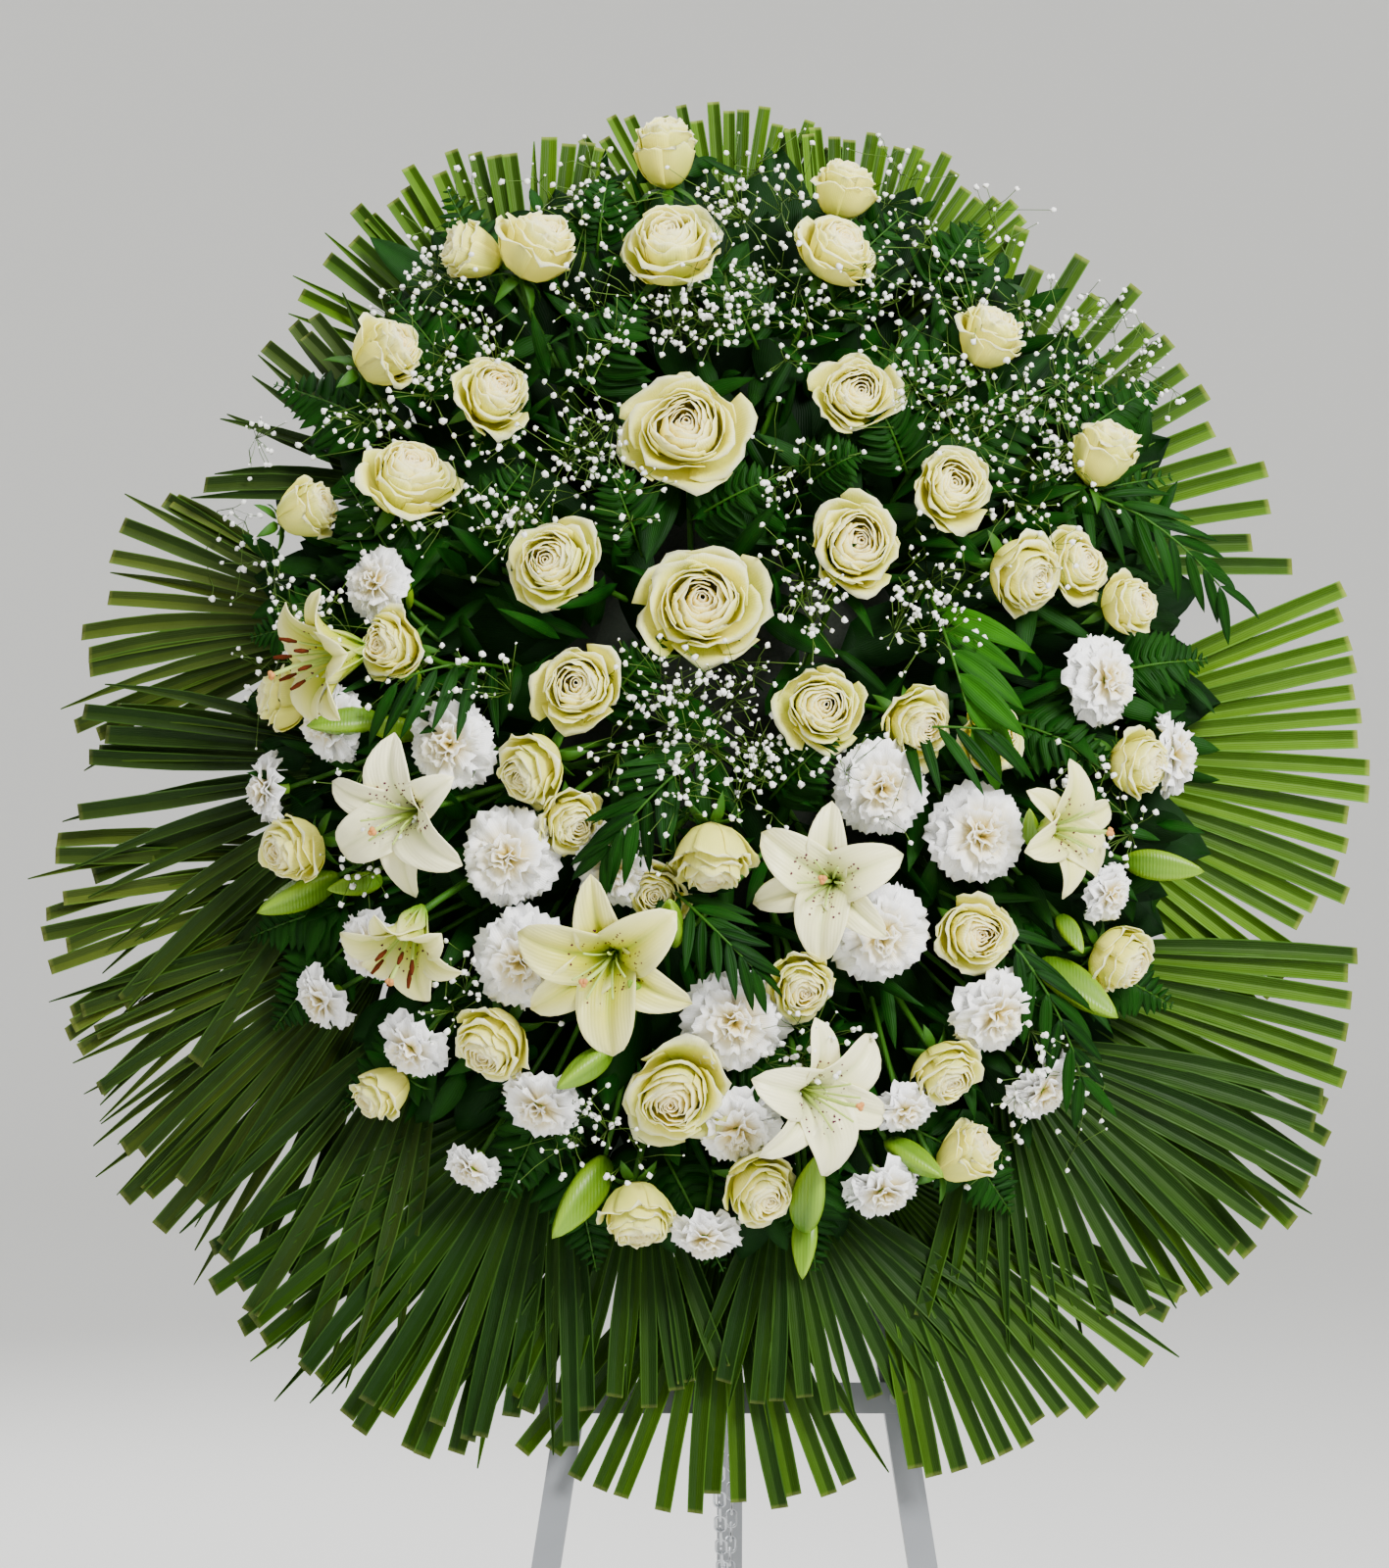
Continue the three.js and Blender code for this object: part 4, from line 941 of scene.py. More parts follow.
def lily_tepals(piece, reach, rng, rise, gold, green, turn, centre):
    """Three wide and three narrow tepals, with freckles on the inner side near the throat.

    The midline is a cubic curve from the throat up and out to a tip that rolls back; the half width is a
    lance shape, hollow across, waved at the edges and grooved along the middle.
    """
    k = np.arange(TEPALS)[:, None, None]
    inner = k % 2 == 0
    wide = np.where(inner, 0.45, 0.34) * (1 - 0.25 * rise)
    heading = k * 2 * np.pi / TEPALS + rng.uniform(-0.1, 0.1, k.shape)
    a, b = TEPAL_CELLS
    u = np.linspace(-1, 1, a)[None, :, None]
    v = np.linspace(0, 1, b)[None, None, :]
    curl = rng.uniform(-0.16, 0.12, k.shape)
    rho = bezier(0.035, 0.12, 0.46 - 0.22 * rise, 1.0 - 0.45 * rise, v) + 0 * heading
    z = bezier(-0.5, -0.16, 0.36 + 0.2 * rise, -0.03 + curl + 0.5 * rise, v) + np.where(inner, 0.02, -0.03)
    half = wide * (v + 0.015) ** 0.62 * (1.0003 - v) ** 0.6 * 1.7
    wave = 0.06 * np.sin(8 * v + rng.uniform(0, 6, k.shape) + 1.5 * u) * u**2 * np.sin(np.pi * v)
    keel = 0.05 * np.exp(-((u / 0.17) ** 2)) - 0.022 * np.exp(-(((np.abs(u) - 0.4) / 0.15) ** 2))
    lift = half * 0.55 * u**2 * (1 - 0.7 * v) - keel * np.sin(np.pi * v) ** 0.7 + wave
    slope_r, slope_z = np.gradient(rho, axis=2), np.gradient(z, axis=2)
    run = np.hypot(slope_r, slope_z)
    out, round_ = around(heading), around(heading + np.pi / 2)
    points = (out * (rho - slope_z / run * lift)[..., None] + round_ * (u * half)[..., None]
              + np.array([0, 0, 1.0]) * (z + slope_r / run * lift)[..., None]) * reach
    gilt = (0.2 + gold) * (1 - 0.45 * np.abs(u) ** 1.5) * (1.1 - 0.6 * v) + 0 * k
    throat = (0.9 + 0.6 * green) * np.exp(-v * (8 - 5 * green)) + 0 * (u + k)
    groove = (0.5 + 0.35 * green) * np.exp(-((u / 0.12) ** 2)) * (1.1 - v) + 0 * k
    tint = mix(tone("lily_white"), tone("lily_gold"), gilt)
    for amount in (throat, groove):
        tint = mix(tint, tone("lily_throat"), amount)
    piece.add_grid(points, size_of("tepal_thick"), tint, stacked(u * half, v) * reach, 0, turn, centre)
    add_freckles(piece, points, rng, turn, centre)


def add_freckles(piece, points, rng, turn, centre):
    """Small beads on the tepals' lower half, each at a place between four points of its tepal's grid."""
    a = TEPAL_CELLS[0]
    leaf = rng.integers(0, TEPALS, FRECKLES)
    across, along = rng.uniform(2, a - 3, FRECKLES), rng.uniform(3, 9.5, FRECKLES)
    i, j = across.astype(int), along.astype(int)
    f, g = (across - i)[:, None], (along - j)[:, None]
    near = points[leaf, i, j] * (1 - f) + points[leaf, i + 1, j] * f
    far = points[leaf, i, j + 1] * (1 - f) + points[leaf, i + 1, j + 1] * f
    spot = near * (1 - g) + far * g + np.array([0, 0, 0.5])
    beads = balls(spot, rng.uniform(0.75, 1.4, FRECKLES), 4, 3, rng, 0.0)
    piece.add(placed(beads, turn, centre), tone("freckle"), material=2)


def lily_middle(piece, reach, rng, rise, ripe, turn, centre):
    """Filaments that bow outwards, with ripe anthers along their tips if left on, and the style."""
    def add(body, tint, material=1):
        piece.add(placed(body, turn, centre), tone(tint), material=material)

    angle = (np.arange(TEPALS) * 2 * np.pi / TEPALS + 0.5 + rng.uniform(-0.2, 0.2, TEPALS))[:, None]
    s = np.linspace(0, 1, 7)[None, :]
    spread = (0.04 + 0.26 * s**1.5) * (1 - 0.4 * rise)
    path = stacked(spread * np.cos(angle), spread * np.sin(angle), 0.86 * s - 0.45) * reach
    add(tubes(path, 1.0, 5), "filament")
    if ripe:
        ahead = normal(path[:, -1:] - path[:, -2:-1])
        add(tubes(path[:, -1:] + ahead * ANTHER_RUN[:, None], ANTHER_RADII), "pollen", 2)
    style = STYLE_PATH * reach
    add(tubes(style[None], 1.8, 7), "filament")
    knob = style[-1] + 1.8 * around(np.arange(3) * 2 * np.pi / 3)
    add(balls(knob, np.full(3, 2.6), 7, 5, rng, 0.1), "stigma")


def lily_bud(piece, size, turn, centre):
    """A closed bud: a spindle with three deep and three shallow grooves, paler towards its tip."""
    s = np.linspace(0, 1, BUD_RINGS + 2)
    radii = size * 0.185 * np.sin(np.pi * s**0.85) ** 0.7 * (1 - 0.2 * s)
    ring = np.tile(np.arange(BUD_SIDES) * 2 * np.pi / BUD_SIDES, BUD_RINGS)
    along = np.concatenate([np.repeat(s[1:-1], BUD_SIDES), [0, 1]])
    rib = np.concatenate([0.5 + 0.3 * np.cos(3 * ring) + 0.2 * np.cos(6 * ring), [0.5, 0.5]])
    piece.add(placed(lathe(radii, size * (s - 0.5), BUD_SIDES, 3, 0.18), turn, centre),
              mix(tone("bud_green"), tone("bud_tip"), 0.55 * rib + 0.5 * along))


def build_lilies(rng):
    """Lily stems: a peg on the foam, the open flower, and its buds on stems that fork off."""
    for i, (flower, buds) in enumerate(LILIES):
        x, z, size, more = listed(flower)
        centre, facing, radius = head(x, z, size, **more)
        piece = Piece(f"lily_{i + 1}", lily_petal, stem_green, pollen_dust)
        turn = turned_to(facing, rng.uniform(0, 6))
        rise, gold, green = (more.get(*look) for look in LILY_LOOKS.items())
        lily_tepals(piece, radius * LILY_FULL, rng, rise, gold, green, turn, centre)
        lily_middle(piece, radius, rng, rise, more.get("pollen"), turn, centre)
        foot = on_foam(centre)
        add_peg(piece, foot)
        add_head_stem(piece, foot, centre, facing, radius * LILY_BACK, size_of("lily_stem"))
        fork = foot * (1 - FORK) + centre * FORK
        for bud_x, bud_z, size, tilt, to, out in buds:
            aim = head(bud_x, bud_z, size, tilt=tilt, to=to)[1]
            spot = seen(bud_x, bud_z, out)
            lily_bud(piece, size * BUD_FULL, turned_to(aim, rng.uniform(0, 6)), spot)
            add_head_stem(piece, fork, spot, aim, size * BUD_BACK, size_of("thin_stem"))
        piece.build(FRONT, [f"lily_stem_{i + 1}"], "lily_petal")


# ---------------------------------------------------------------- palm fans
# Each fan leaf has its hub on the drawing, its first and last blade's direction, their lengths, its number
# of blades, how far it stands out from the board, how sunny it is, how much its blades droop, the share of
# blades with a thin tip, and the solid that it stands for.
FANS = [
    ("top", (-4, 300), (60, 124), (200, 224), 18, 14, 0.85, 0.0, 0.0, "palm_fan_top"),
    ("top_right", (85, 270), (38, 100), (216, 222), 18, 26, 0.8, 0.0, 0.05, "palm_fan_top_right"),
    ("right_upper", (140, 104), (3, 70), (328, 312), 15, 38, 0.7, 0.02, 0.05, "palm_fan_right_upper"),
    ("right", (215, -50), (-43, 26), (322, 334), 19, 14, 1.0, 0.01, 0.0, "palm_fan_right"),
    ("right_lower", (205, -221), (-58, 2), (346, 338), 16, 26, 0.5, 0.02, 0.05, "palm_fan_right_lower"),
    ("bottom_right", (110, -400), (-80, -22), (268, 305), 15, 38, 0.4, 0.03, 0.05, "palm_fan_bottom_right"),
    ("bottom", (-8, -440), (-130, -60), (272, 256), 14, 14, 0.35, 0.02, 0.15, "palm_fan_bottom"),
    ("bottom_left", (-161, -390), (206, 256), (288, 278), 13, 26, 0.35, 0.04, 0.2, "palm_fan_bottom_left"),
    ("left_lower", (-300, -230), (206, 252), (272, 292), 11, 14, 0.35, 0.06, 0.4, "palm_fan_left_lower"),
    ("left", (-300, -140), (172, 221), (284, 304), 15, 38, 0.6, 0.06, 0.25, "palm_fan_left"),
    ("left_upper", (-320, 60), (142, 204), (216, 254), 14, 26, 0.55, 0.04, 0.35, "palm_fan_left_upper"),
    ("top_left", (-165, 240), (78, 156), (244, 242), 21, 38, 0.75, 0.01, 0.1, "palm_fan_top_left"),
    ("low_left_under", (-150, -330), (203, 276), (330, 300), 17, 50, 0.15, 0.05, 0.35, None),
    ("left_low_under", (-280, -190), (190, 236), (300, 310), 16, 48, 0.3, 0.05, 0.35, None),
    ("left_foot_under", (-250, -250), (218, 262), (300, 330), 11, 52, 0.2, 0.05, 0.35, None),
    ("low_middle_under", (-80, -380), (232, 292), (270, 205), 13, 46, 0.2, 0.03, 0.25, None),
    ("low_under", (40, -400), (-112, -34), (195, 250), 15, 48, 0.15, 0.04, 0.25, None),
    ("left_under", (-280, -60), (160, 232), (280, 296), 19, 50, 0.2, 0.06, 0.45, None),
    ("upper_left_under", (-250, 170), (118, 176), (200, 205), 12, 50, 0.25, 0.03, 0.7, None),
    ("right_under", (225, -295), (-104, -6), (240, 300), 19, 50, 0.2, 0.04, 0.2, None),
]


BLADE_ACROSS = np.array([-1, -0.84, -0.1, 0.1, 0.84, 1.0])  # narrow folded edges and a narrow valley
BLADE_ALONG = np.append(np.linspace(0, 0.985, 9), 1)  # the last short stretch is the cut end
OLIVE_FROM, OLIVE_OVER, OLIVE_MOST = -180, 100, 0.8  # leaves whose hub is left of here turn a duller olive, more and more
RIB_RADII, RIB_PAST = np.array([[4.0, 4.0, 2.0]]), 25  # from the foam to the hub and a little past it


def fan_blades(piece, hub, span, reach, count, out, sunny, droop, thin, rng):
    """The pleated blades of one fan leaf on the drawing.

    Each is a strip from the hub to a cut end, V-shaped across. As far as the split the strips share their
    edges; beyond it each keeps its own width, bends and droops a little of its own, and some thin out to a
    long point.
    """
    u, v = BLADE_ACROSS[None, :, None], BLADE_ALONG[None, None, :]
    k = np.arange(count)[:, None, None]
    loose = 0.3 + 2 * thin

    def jitter(size):
        return rng.uniform(-size, size, k.shape)

    step = math.radians(abs(span[1] - span[0]) / (count - 1))
    heading = np.radians(np.linspace(*span, count))[:, None, None]
    pointed = rng.uniform(0, 1, k.shape) < thin
    full = (reach[0] + (reach[1] - reach[0]) * k / (count - 1)) * (1 + jitter(0.05)) * (1 + 0.05 * pointed)
    run = full * v
    own = min(size_of("blade_width"), 0.8 * reach[0] * step) / 2 * (1 + jitter(0.12)) * (1 - 0.15 * v**3)
    half = np.minimum(run * step / 2, own) + 0.6
    half = half * np.where(pointed, np.clip(1.9 * (1.015 - v), 0, 1) ** 0.8, 1)
    along, side = (stacked(np.cos(w), np.sin(w)) for w in (heading, heading + np.pi / 2))
    bend = (jitter(0.04) + jitter(0.25 * step)) * loose * full * v**3
    place = np.array(hub) + along * run[..., None] + side * (u * half + bend)[..., None]
    sag = (droop * np.abs(np.cos(heading)) + 0.012) * full * v**2.5 * (1 + jitter(0.9) * loose)
    stand = out + full * (0.05 * np.sin(np.pi * v) + jitter(0.04) * loose * v**2.5) + half * 0.95 * np.abs(u)
    points = seen(place[..., 0], place[..., 1] - sag, np.maximum(stand, 6))

    # painted light and shade: each blade is lit by its fan's sunniness and more towards its tip, and the half
    # of its fold that faces down is painted in shade
    lit = sunny * (0.5 + rng.uniform(0, 1, k.shape) ** 1.5)
    under = u * np.cos(heading) > 0
    # old is the share of the duller olive tone, which grows towards the left
    old = np.clip((OLIVE_FROM - hub[0]) / OLIVE_OVER, 0, OLIVE_MOST)
    bright = mix(tone("blade_bright"), tone("blade_olive"), old)
    tint = mix(tone("blade_shade"), bright, np.minimum(lit * (0.6 + 0.45 * v), 1) * (1 - 0.5 * under))
    # painted highlight along the folded edges, stronger on sunnier fans
    tint = mix(tint, tone("blade_rim_highlight"), 0.4 * (np.abs(u) > 0.9) * (0.25 + 0.75 * sunny) + 0 * k)
    # pale cut ends, their own colour, made brighter on sunnier fans as painted light
    tint = mix(tint, tone("blade_cut"), (0.1 + 0.4 * sunny) * (v > 0.99) * ~pointed + 0 * u)
    piece.add_grid(points, size_of("leaf_thick"), tint, stacked(u * half, run))


def build_fans(rng):
    """Fan palm leaves, each with a rib that runs from the foam through the hub into its middle blade."""
    for name, hub, span, reach, count, out, sunny, droop, thin, solid in FANS:
        piece = Piece(f"fan_leaf_{name}", palm_leaf, stem_green)
        fan_blades(piece, hub, span, reach, count, out, sunny, droop, thin, rng)
        hub = np.array(hub, float)
        root = hub * min(1, 0.95 / np.hypot(hub[0] / FOAM[0], hub[1] / FOAM[2]))
        mid = math.radians(sum(span) / 2)
        rib = np.stack([root, hub, hub + RIB_PAST * np.array([math.cos(mid), math.sin(mid)])])
        add_stems(piece, seen(rib[:, 0], rib[:, 1], out), RIB_RADII, 8, shade=1.3)
        piece.build(FRONT, [solid] if solid else (), "palm_leaf")


# ---------------------------------------------------------------- leaves between the flowers
# Each parlour palm frond has its start, bow and end on the drawing (x, z, out), rows of leaflets, their
# length and width, its tones (old for the darker, young for the lighter), the sides of the rib that carry
# them, and the solid that it stands for.
FRONDS = [
    ("right_upper", (225, 170, 90), (330, 205, 215), (420, 95, 150), 11, 80, 10, "old", (-1, 1),
     "feather_frond_right"),
    ("centre_right", (165, 95, 160), (186, 50, 285), (205, -25, 262), 6, 98, 21, "young", (-1,), None),
    ("hanging", (95, -38, 150), (150, -22, 285), (222, -30, 262), 8, 84, 10, "old", (1,), None),
    ("centre", (0, -40, 170), (-50, -52, 300), (-108, -130, 262), 9, 78, 12, "old", (-1, 1), None),
    ("below_centre", (-75, -150, 190), (-35, -185, 285), (15, -235, 262), 8, 66, 10, "old", (-1, 1), None),
    ("left", (-190, 20, 150), (-235, 38, 268), (-292, 12, 245), 6, 88, 11, "old", (-1,), None),
    ("lower_right", (150, -160, 170), (260, -190, 235), (300, -330, 160), 9, 76, 11, "old", (-1, 1), None),
]
# the darker tones start from the leaf_dark colour, which is partly painted shade
FROND_TONES = {"old": ("leaf_dark", "leaf_bright"), "young": ("leaf_bright", "frond_young")}
# leatherleaf tips: start and end on the drawing (x, z), leaflet length
FERNS = [
    ((110, 240), (260, 330), 62), ((180, 200), (330, 300), 60), ((-40, 150), (40, 190), 52),
    ((-130, 260), (-80, 350), 56), ((-230, 120), (-180, 200), 55), ((-280, 90), (-340, 190), 58),
    ((-150, -330), (-200, -440), 58), ((120, -360), (240, -420), 58), ((60, 330), (150, 420), 55),
    ((-120, -20), (-60, 50), 48), ((230, -20), (330, -60), 50), ((-60, -400), (-10, -500), 55),
    ((-200, 330), (-250, 440), 58), ((-300, 230), (-400, 270), 60), ((20, 300), (-20, 380), 50),
    ((250, 160), (380, 190), 58), ((-250, -60), (-330, -90), 50), ((-80, 120), (-110, 200), 50),
    ((30, -90), (90, -30), 46), ((-20, -300), (60, -350), 50), ((220, -250), (300, -290), 54),
    ((-260, -300), (-340, -360), 56), ((150, 190), (120, 260), 50), ((-330, -180), (-420, -210), 56),
    ((60, 180), (110, 210), 46), ((-230, 260), (-300, 350), 58), ((290, 220), (370, 270), 54),
    ((330, 20), (410, 30), 50), ((300, -230), (380, -270), 52), ((-340, 60), (-420, 50), 52),
    ((-340, -220), (-400, -290), 52), ((-140, -400), (-120, -500), 54), ((60, -400), (70, -500), 52),
    ((190, -380), (240, -450), 52), ((-120, 380), (-110, 450), 50), ((170, 350), (210, 410), 50),
]


FERN_PAIRS, FERN_BOW = 13, np.array([0, -16.0, 0])  # pairs of leaflets, and how far the rib bows forwards
FERN_START, FERN_END = 62, 12  # how deep below the heads it starts and ends


def build_fronds(rng):
    """Parlour palm: a curved rib with lance-shaped leaflets, which point forward and hang a little."""
    front = np.array([0, -1, 0.2])
    for name, start, bow, end, rows, long, wide, age, sides, solid in FRONDS:
        piece = Piece(f"parlour_palm_{name}", dark_leaf, stem_green)
        p0, p1, p2 = (seen(*p) for p in (start, bow, end))
        add_stems(piece, arc(p0, p1, p2, np.linspace(0, 1, 12)[:, None]), np.linspace(1.9, 0.8, 12)[None])
        t = np.repeat(np.linspace(0.22, 1.0, rows), len(sides))[:, None]
        sign = np.tile(sides, rows)[:, None]
        tangent = normal(2 * (1 - t) * (p1 - p0) + 2 * t * (p2 - p1))
        spread = np.radians(62 - 38 * t)
        along = np.cos(spread) * tangent + sign * np.sin(spread) * normal(np.cross(tangent, front))
        along = along - np.array([0, 0, 0.22]) + rng.normal(0, 0.1, along.shape)
        reach = long * (1.05 - 0.35 * t[:, 0]) * rng.uniform(0.9, 1.08, len(t))
        face = front + rng.normal(0, 0.2, along.shape)
        add_leaves(piece, arc(p0, p1, p2, t), along, face, reach, wide, rng, FROND_TONES[age],
                   bend=(0.08, 0.4), fold=0.3)
        piece.build(FRONT, [solid] if solid else (), "dark_leaf")


def build_ferns(rng):
    """Leatherleaf tips: a rib with lobed leaflets in pairs that shorten towards the tip."""
    piece = Piece("leatherleaf_tips", dark_leaf, stem_green)
    t = np.repeat(np.linspace(0.08, 0.97, FERN_PAIRS), 2)[:, None]
    sign = np.tile([-1, 1], FERN_PAIRS)[:, None]
    front = np.array([0, -1.0, 0.1])
    for start, end, long in FERNS:
        p0, p1 = (seen(*p, dome_out(*p) - sunk) for p, sunk in ((start, FERN_START), (end, FERN_END)))

        def rib(s):
            return p0 + (p1 - p0) * s + FERN_BOW * np.sin(np.pi * s)

        add_stems(piece, rib(np.linspace(0, 1, 8)[:, None]), np.linspace(1.6, 0.5, 8)[None], 5)
        tangent = normal(np.broadcast_to(p1 - p0, (len(t), 3)))
        along = tangent * 0.55 + sign * normal(np.cross(tangent, front)) + rng.normal(0, 0.07, tangent.shape)
        reach = long * (1.02 - t[:, 0]) ** 0.8 * rng.uniform(0.9, 1.1, len(t))
        face = front + rng.normal(0, 0.25, tangent.shape)
        add_leaves(piece, rib(t), along, face, reach, reach * 0.38, rng, outline=toothed, bend=(0, 0.25),
                   fold=0.12, cells=(3, 7))
    piece.build(FRONT, (), "dark_leaf")


# rings of covering leaves: share of the dome's width, number of leaves, depth below the heads
COVER_RINGS = ((0.1, 5, 92), (0.24, 9, 92), (0.38, 14, 92), (0.52, 19, 90), (0.66, 23, 86), (0.79, 27, 76),
               (0.85, 28, 66), (0.3, 10, 135), (0.42, 18, 140), (0.54, 24, 140), (0.66, 30, 130),
               (0.78, 34, 110), (0.83, 34, 88))
COVER_TOP = 0.7  # above this share of the dome's height the palm blades cover it
COVER_LEAST = 30  # a covering leaf's least distance from the board

# rings of big backing leaves behind: share of the dome's width, number, distance from the board, length
BACKING_RINGS = ((0.3, 16, 66, 200), (0.5, 22, 58, 185), (0.66, 26, 50, 150))

FILLERS = 620

# broad dark leaves: start and end on the drawing, width
BROAD = [((-222, 325), (-318, 400), 42), ((-205, 345), (-272, 412), 36), ((-58, 195), (-78, 120), 36),
         ((232, 255), (282, 305), 32), ((-20, 330), (10, 400), 34), ((-66, -2), (-4, -42), 34),
         ((24, 72), (88, 34), 34)]
BROAD_START, BROAD_END = 55, 20  # how deep below the heads one starts and ends


def build_cover_leaves(rng):
    """Covering leaves that lie on the dome in rings, like shingles."""
    piece = Piece("cover_leaves", dark_leaf, stem_green)
    counts = [count for _, count, _ in COVER_RINGS]
    reach, depth = (np.repeat(column, counts).astype(float) for column in list(zip(*COVER_RINGS))[::2])
    spin = np.concatenate([np.arange(count) * 2 * np.pi / count + i for i, count in enumerate(counts)])
    spin = spin + rng.normal(0, 0.05, len(spin))

    def on_dome(share, depth):
        x, z = dome_place(share, spin)
        return seen(x, z, np.maximum(dome_out(x, z) - depth, COVER_LEAST))

    low = reach * np.sin(spin) < COVER_TOP
    base, ahead, reach = on_dome(reach, depth)[low], on_dome(reach + 0.12, depth - 4)[low], reach[low]
    long = rng.uniform(92, 116, len(base)) * (1.1 - 0.62 * reach**2)
    along = normal(ahead - base) + rng.normal(0, 0.16, base.shape)
    face = normal(base - HEART) + rng.normal(0, 0.18, base.shape)
    # kept near the dark tone as painted shade, since these leaves lie deep under the heads
    add_leaves(piece, base, along, face, long, long * rng.uniform(0.42, 0.56, len(base)), rng, lightest=0.4,
               bend=(-0.05, 0.15), fold=0.15, cells=(3, 7))
    piece.build(FRONT, (), "dark_leaf")


def build_backing_leaves(rng):
    """Big leaves behind the spray, in rings, that point outwards."""
    piece = Piece("backing_leaves", dark_leaf, stem_green)
    for share, count, out, long in BACKING_RINGS:
        spin = np.arange(count) * 2 * np.pi / count + rng.normal(0, 0.04, count)
        base = seen(*dome_place(share, spin), out + rng.uniform(-5, 5, count))
        along = normal(stacked(np.cos(spin) * DOME_WIDE, 0, np.sin(spin) * DOME_TALL))
        face = np.array([0, -1.0, 0]) + rng.normal(0, 0.12, base.shape)
        # kept near the dark tone as painted shade, since these leaves lie behind the spray
        add_leaves(piece, base, along + rng.normal(0, 0.06, base.shape) * [1, 0.3, 1], face,
                   long * rng.uniform(0.92, 1.06, count), long * 0.6, rng, lightest=0.3, bend=(-0.08, 0.04),
                   fold=0.1)
    piece.build(FRONT, (), "dark_leaf")


def build_filler_leaves(rng):
    """Narrow leaves strewn over the dome that stand up between the heads."""
    piece = Piece("filler_leaves", dark_leaf, stem_green)
    spin, reach = rng.uniform(0, 2 * np.pi, FILLERS), np.sqrt(rng.uniform(0, 1, FILLERS))
    x, z = DOME_X + DOME_WIDE * 0.93 * reach * np.cos(spin), DOME_TALL * 0.9 * reach * np.sin(spin)
    base = seen(x, z, dome_out(x, z) - rng.uniform(48, 92, FILLERS))
    forward = -np.sqrt(1 - reach**2) * 0.6 - 0.25
    outward = normal(stacked(np.cos(spin) * reach, forward, np.sin(spin) * reach))
    along = outward + rng.normal(0, 0.75, base.shape)
    face = np.array([0, -1.0, 0.3]) + rng.normal(0, 0.5, base.shape)
    add_leaves(piece, base, along, face, rng.uniform(48, 88, FILLERS) * (1.05 - 0.5 * reach**4),
               rng.uniform(8, 21, FILLERS), rng, bend=(0, 0.4), fold=0.25, cells=(3, 6))
    piece.build(FRONT, (), "dark_leaf")


def build_broad_leaves(rng):
    """Broad dark leaves in the gaps between the flowers."""
    piece = Piece("broad_leaves", dark_leaf, stem_green)
    starts, ends, wide = zip(*BROAD)
    base, tip = (seen(x, z, dome_out(x, z) - sunk) for (x, z), sunk in (
        (np.array(starts).T, BROAD_START), (np.array(ends).T, BROAD_END)))
    add_leaves(piece, base, tip - base, np.array([0, -1.0, 0.2]) + rng.normal(0, 0.15, base.shape),
               np.linalg.norm(tip - base, axis=1), wide, rng, bend=(0, 0.2))
    piece.build(FRONT, (), "dark_leaf")


# ---------------------------------------------------------------- baby's breath
# where its sprays stand on the drawing: x, z, half width, half height, sprays
BREATH = [
    (-85, 330, 60, 45, 7), (-20, 335, 55, 45, 7), (60, 330, 50, 50, 6), (170, 320, 60, 80, 11),
    (250, 240, 60, 60, 9), (280, 170, 60, 50, 6), (-320, 240, 55, 60, 8), (-250, 300, 50, 40, 5),
    (-180, 165, 75, 50, 9), (-110, 200, 50, 40, 5), (45, 120, 40, 70, 7), (-65, 15, 45, 35, 5),
    (20, -60, 65, 40, 9), (0, 10, 50, 40, 4), (340, 300, 40, 50, 5), (0, 430, 60, 40, 5),
    (-260, 370, 50, 40, 5), (-390, 90, 30, 60, 4), (180, 60, 50, 50, 6), (-240, -10, 40, 40, 3),
    (60, -300, 60, 50, 4), (-250, -270, 60, 50, 4), (240, -330, 60, 50, 4), (-100, -400, 60, 40, 4),
    (300, -110, 50, 60, 4), (-330, -150, 50, 50, 3), (-60, -80, 50, 50, 4), (120, 410, 60, 40, 5),
    (-180, 420, 50, 30, 4), (-400, 150, 30, 40, 3),
]
BLOSSOMS, FORKS, SPREAD = 17, 4, 21  # in a spray: blossoms, forks, and how far the blossoms scatter
BREATH_ROOT = 90  # how deep below the heads a spray starts
OPEN_SHARE, BUD_SIZE = 0.7, 0.4  # share of blossoms that are open, and a bud's radius in full blossoms
CRUMPLE = 0.34
RIM_REACH = 1.07  # no blossom stands farther out than this, in shares of the dome


def breath_spray(piece, x, z, centres, radii, rng):
    """One spray: a stem that forks, its forks into twigs, each with a crumpled ball clear of the heads."""
    px, pz = x + rng.normal(0, SPREAD, BLOSSOMS), z + rng.normal(0, SPREAD, BLOSSOMS)
    spots = seen(px, pz, dome_out(px, pz) + rng.uniform(-26, 34) + rng.uniform(-14, 14, BLOSSOMS))
    apart = np.linalg.norm(spots[:, None] - centres, axis=-1)
    spots = spots[(apart > radii * 0.95).all(1) & (dome_reach(px, pz) < RIM_REACH)]
    if len(spots) < FORKS:
        return
    opened = rng.uniform(0, 1, len(spots)) > 1 - OPEN_SHARE
    size = size_of("breath_size") * np.where(opened, rng.uniform(0.72, 1.12, len(spots)), BUD_SIZE)
    piece.add(balls(to_row(spots), size, 6, 4, rng, CRUMPLE), tone("breath"))
    root = seen(x, z, dome_out(x, z) - BREATH_ROOT)
    forks = spots[:FORKS] * 0.62 + root * 0.38 + rng.normal(0, 5, (FORKS, 3))
    near = forks[np.linalg.norm(spots[:, None] - forks, axis=-1).argmin(1)]
    s = np.linspace(0, 1, 3)[:, None]
    main = arc(root, (root * 0.5 + forks * 0.5 + rng.normal(0, 5, forks.shape))[:, None], forks[:, None], s)
    knee = near * 0.4 + spots * 0.6 + rng.normal(0, 3, spots.shape)
    fine = size_of("breath_stem")
    add_stems(piece, main, fine * 1.6, 3, "twig", 0.8)
    add_stems(piece, arc(near[:, None], knee[:, None], spots[:, None], s), fine, 3, "twig")


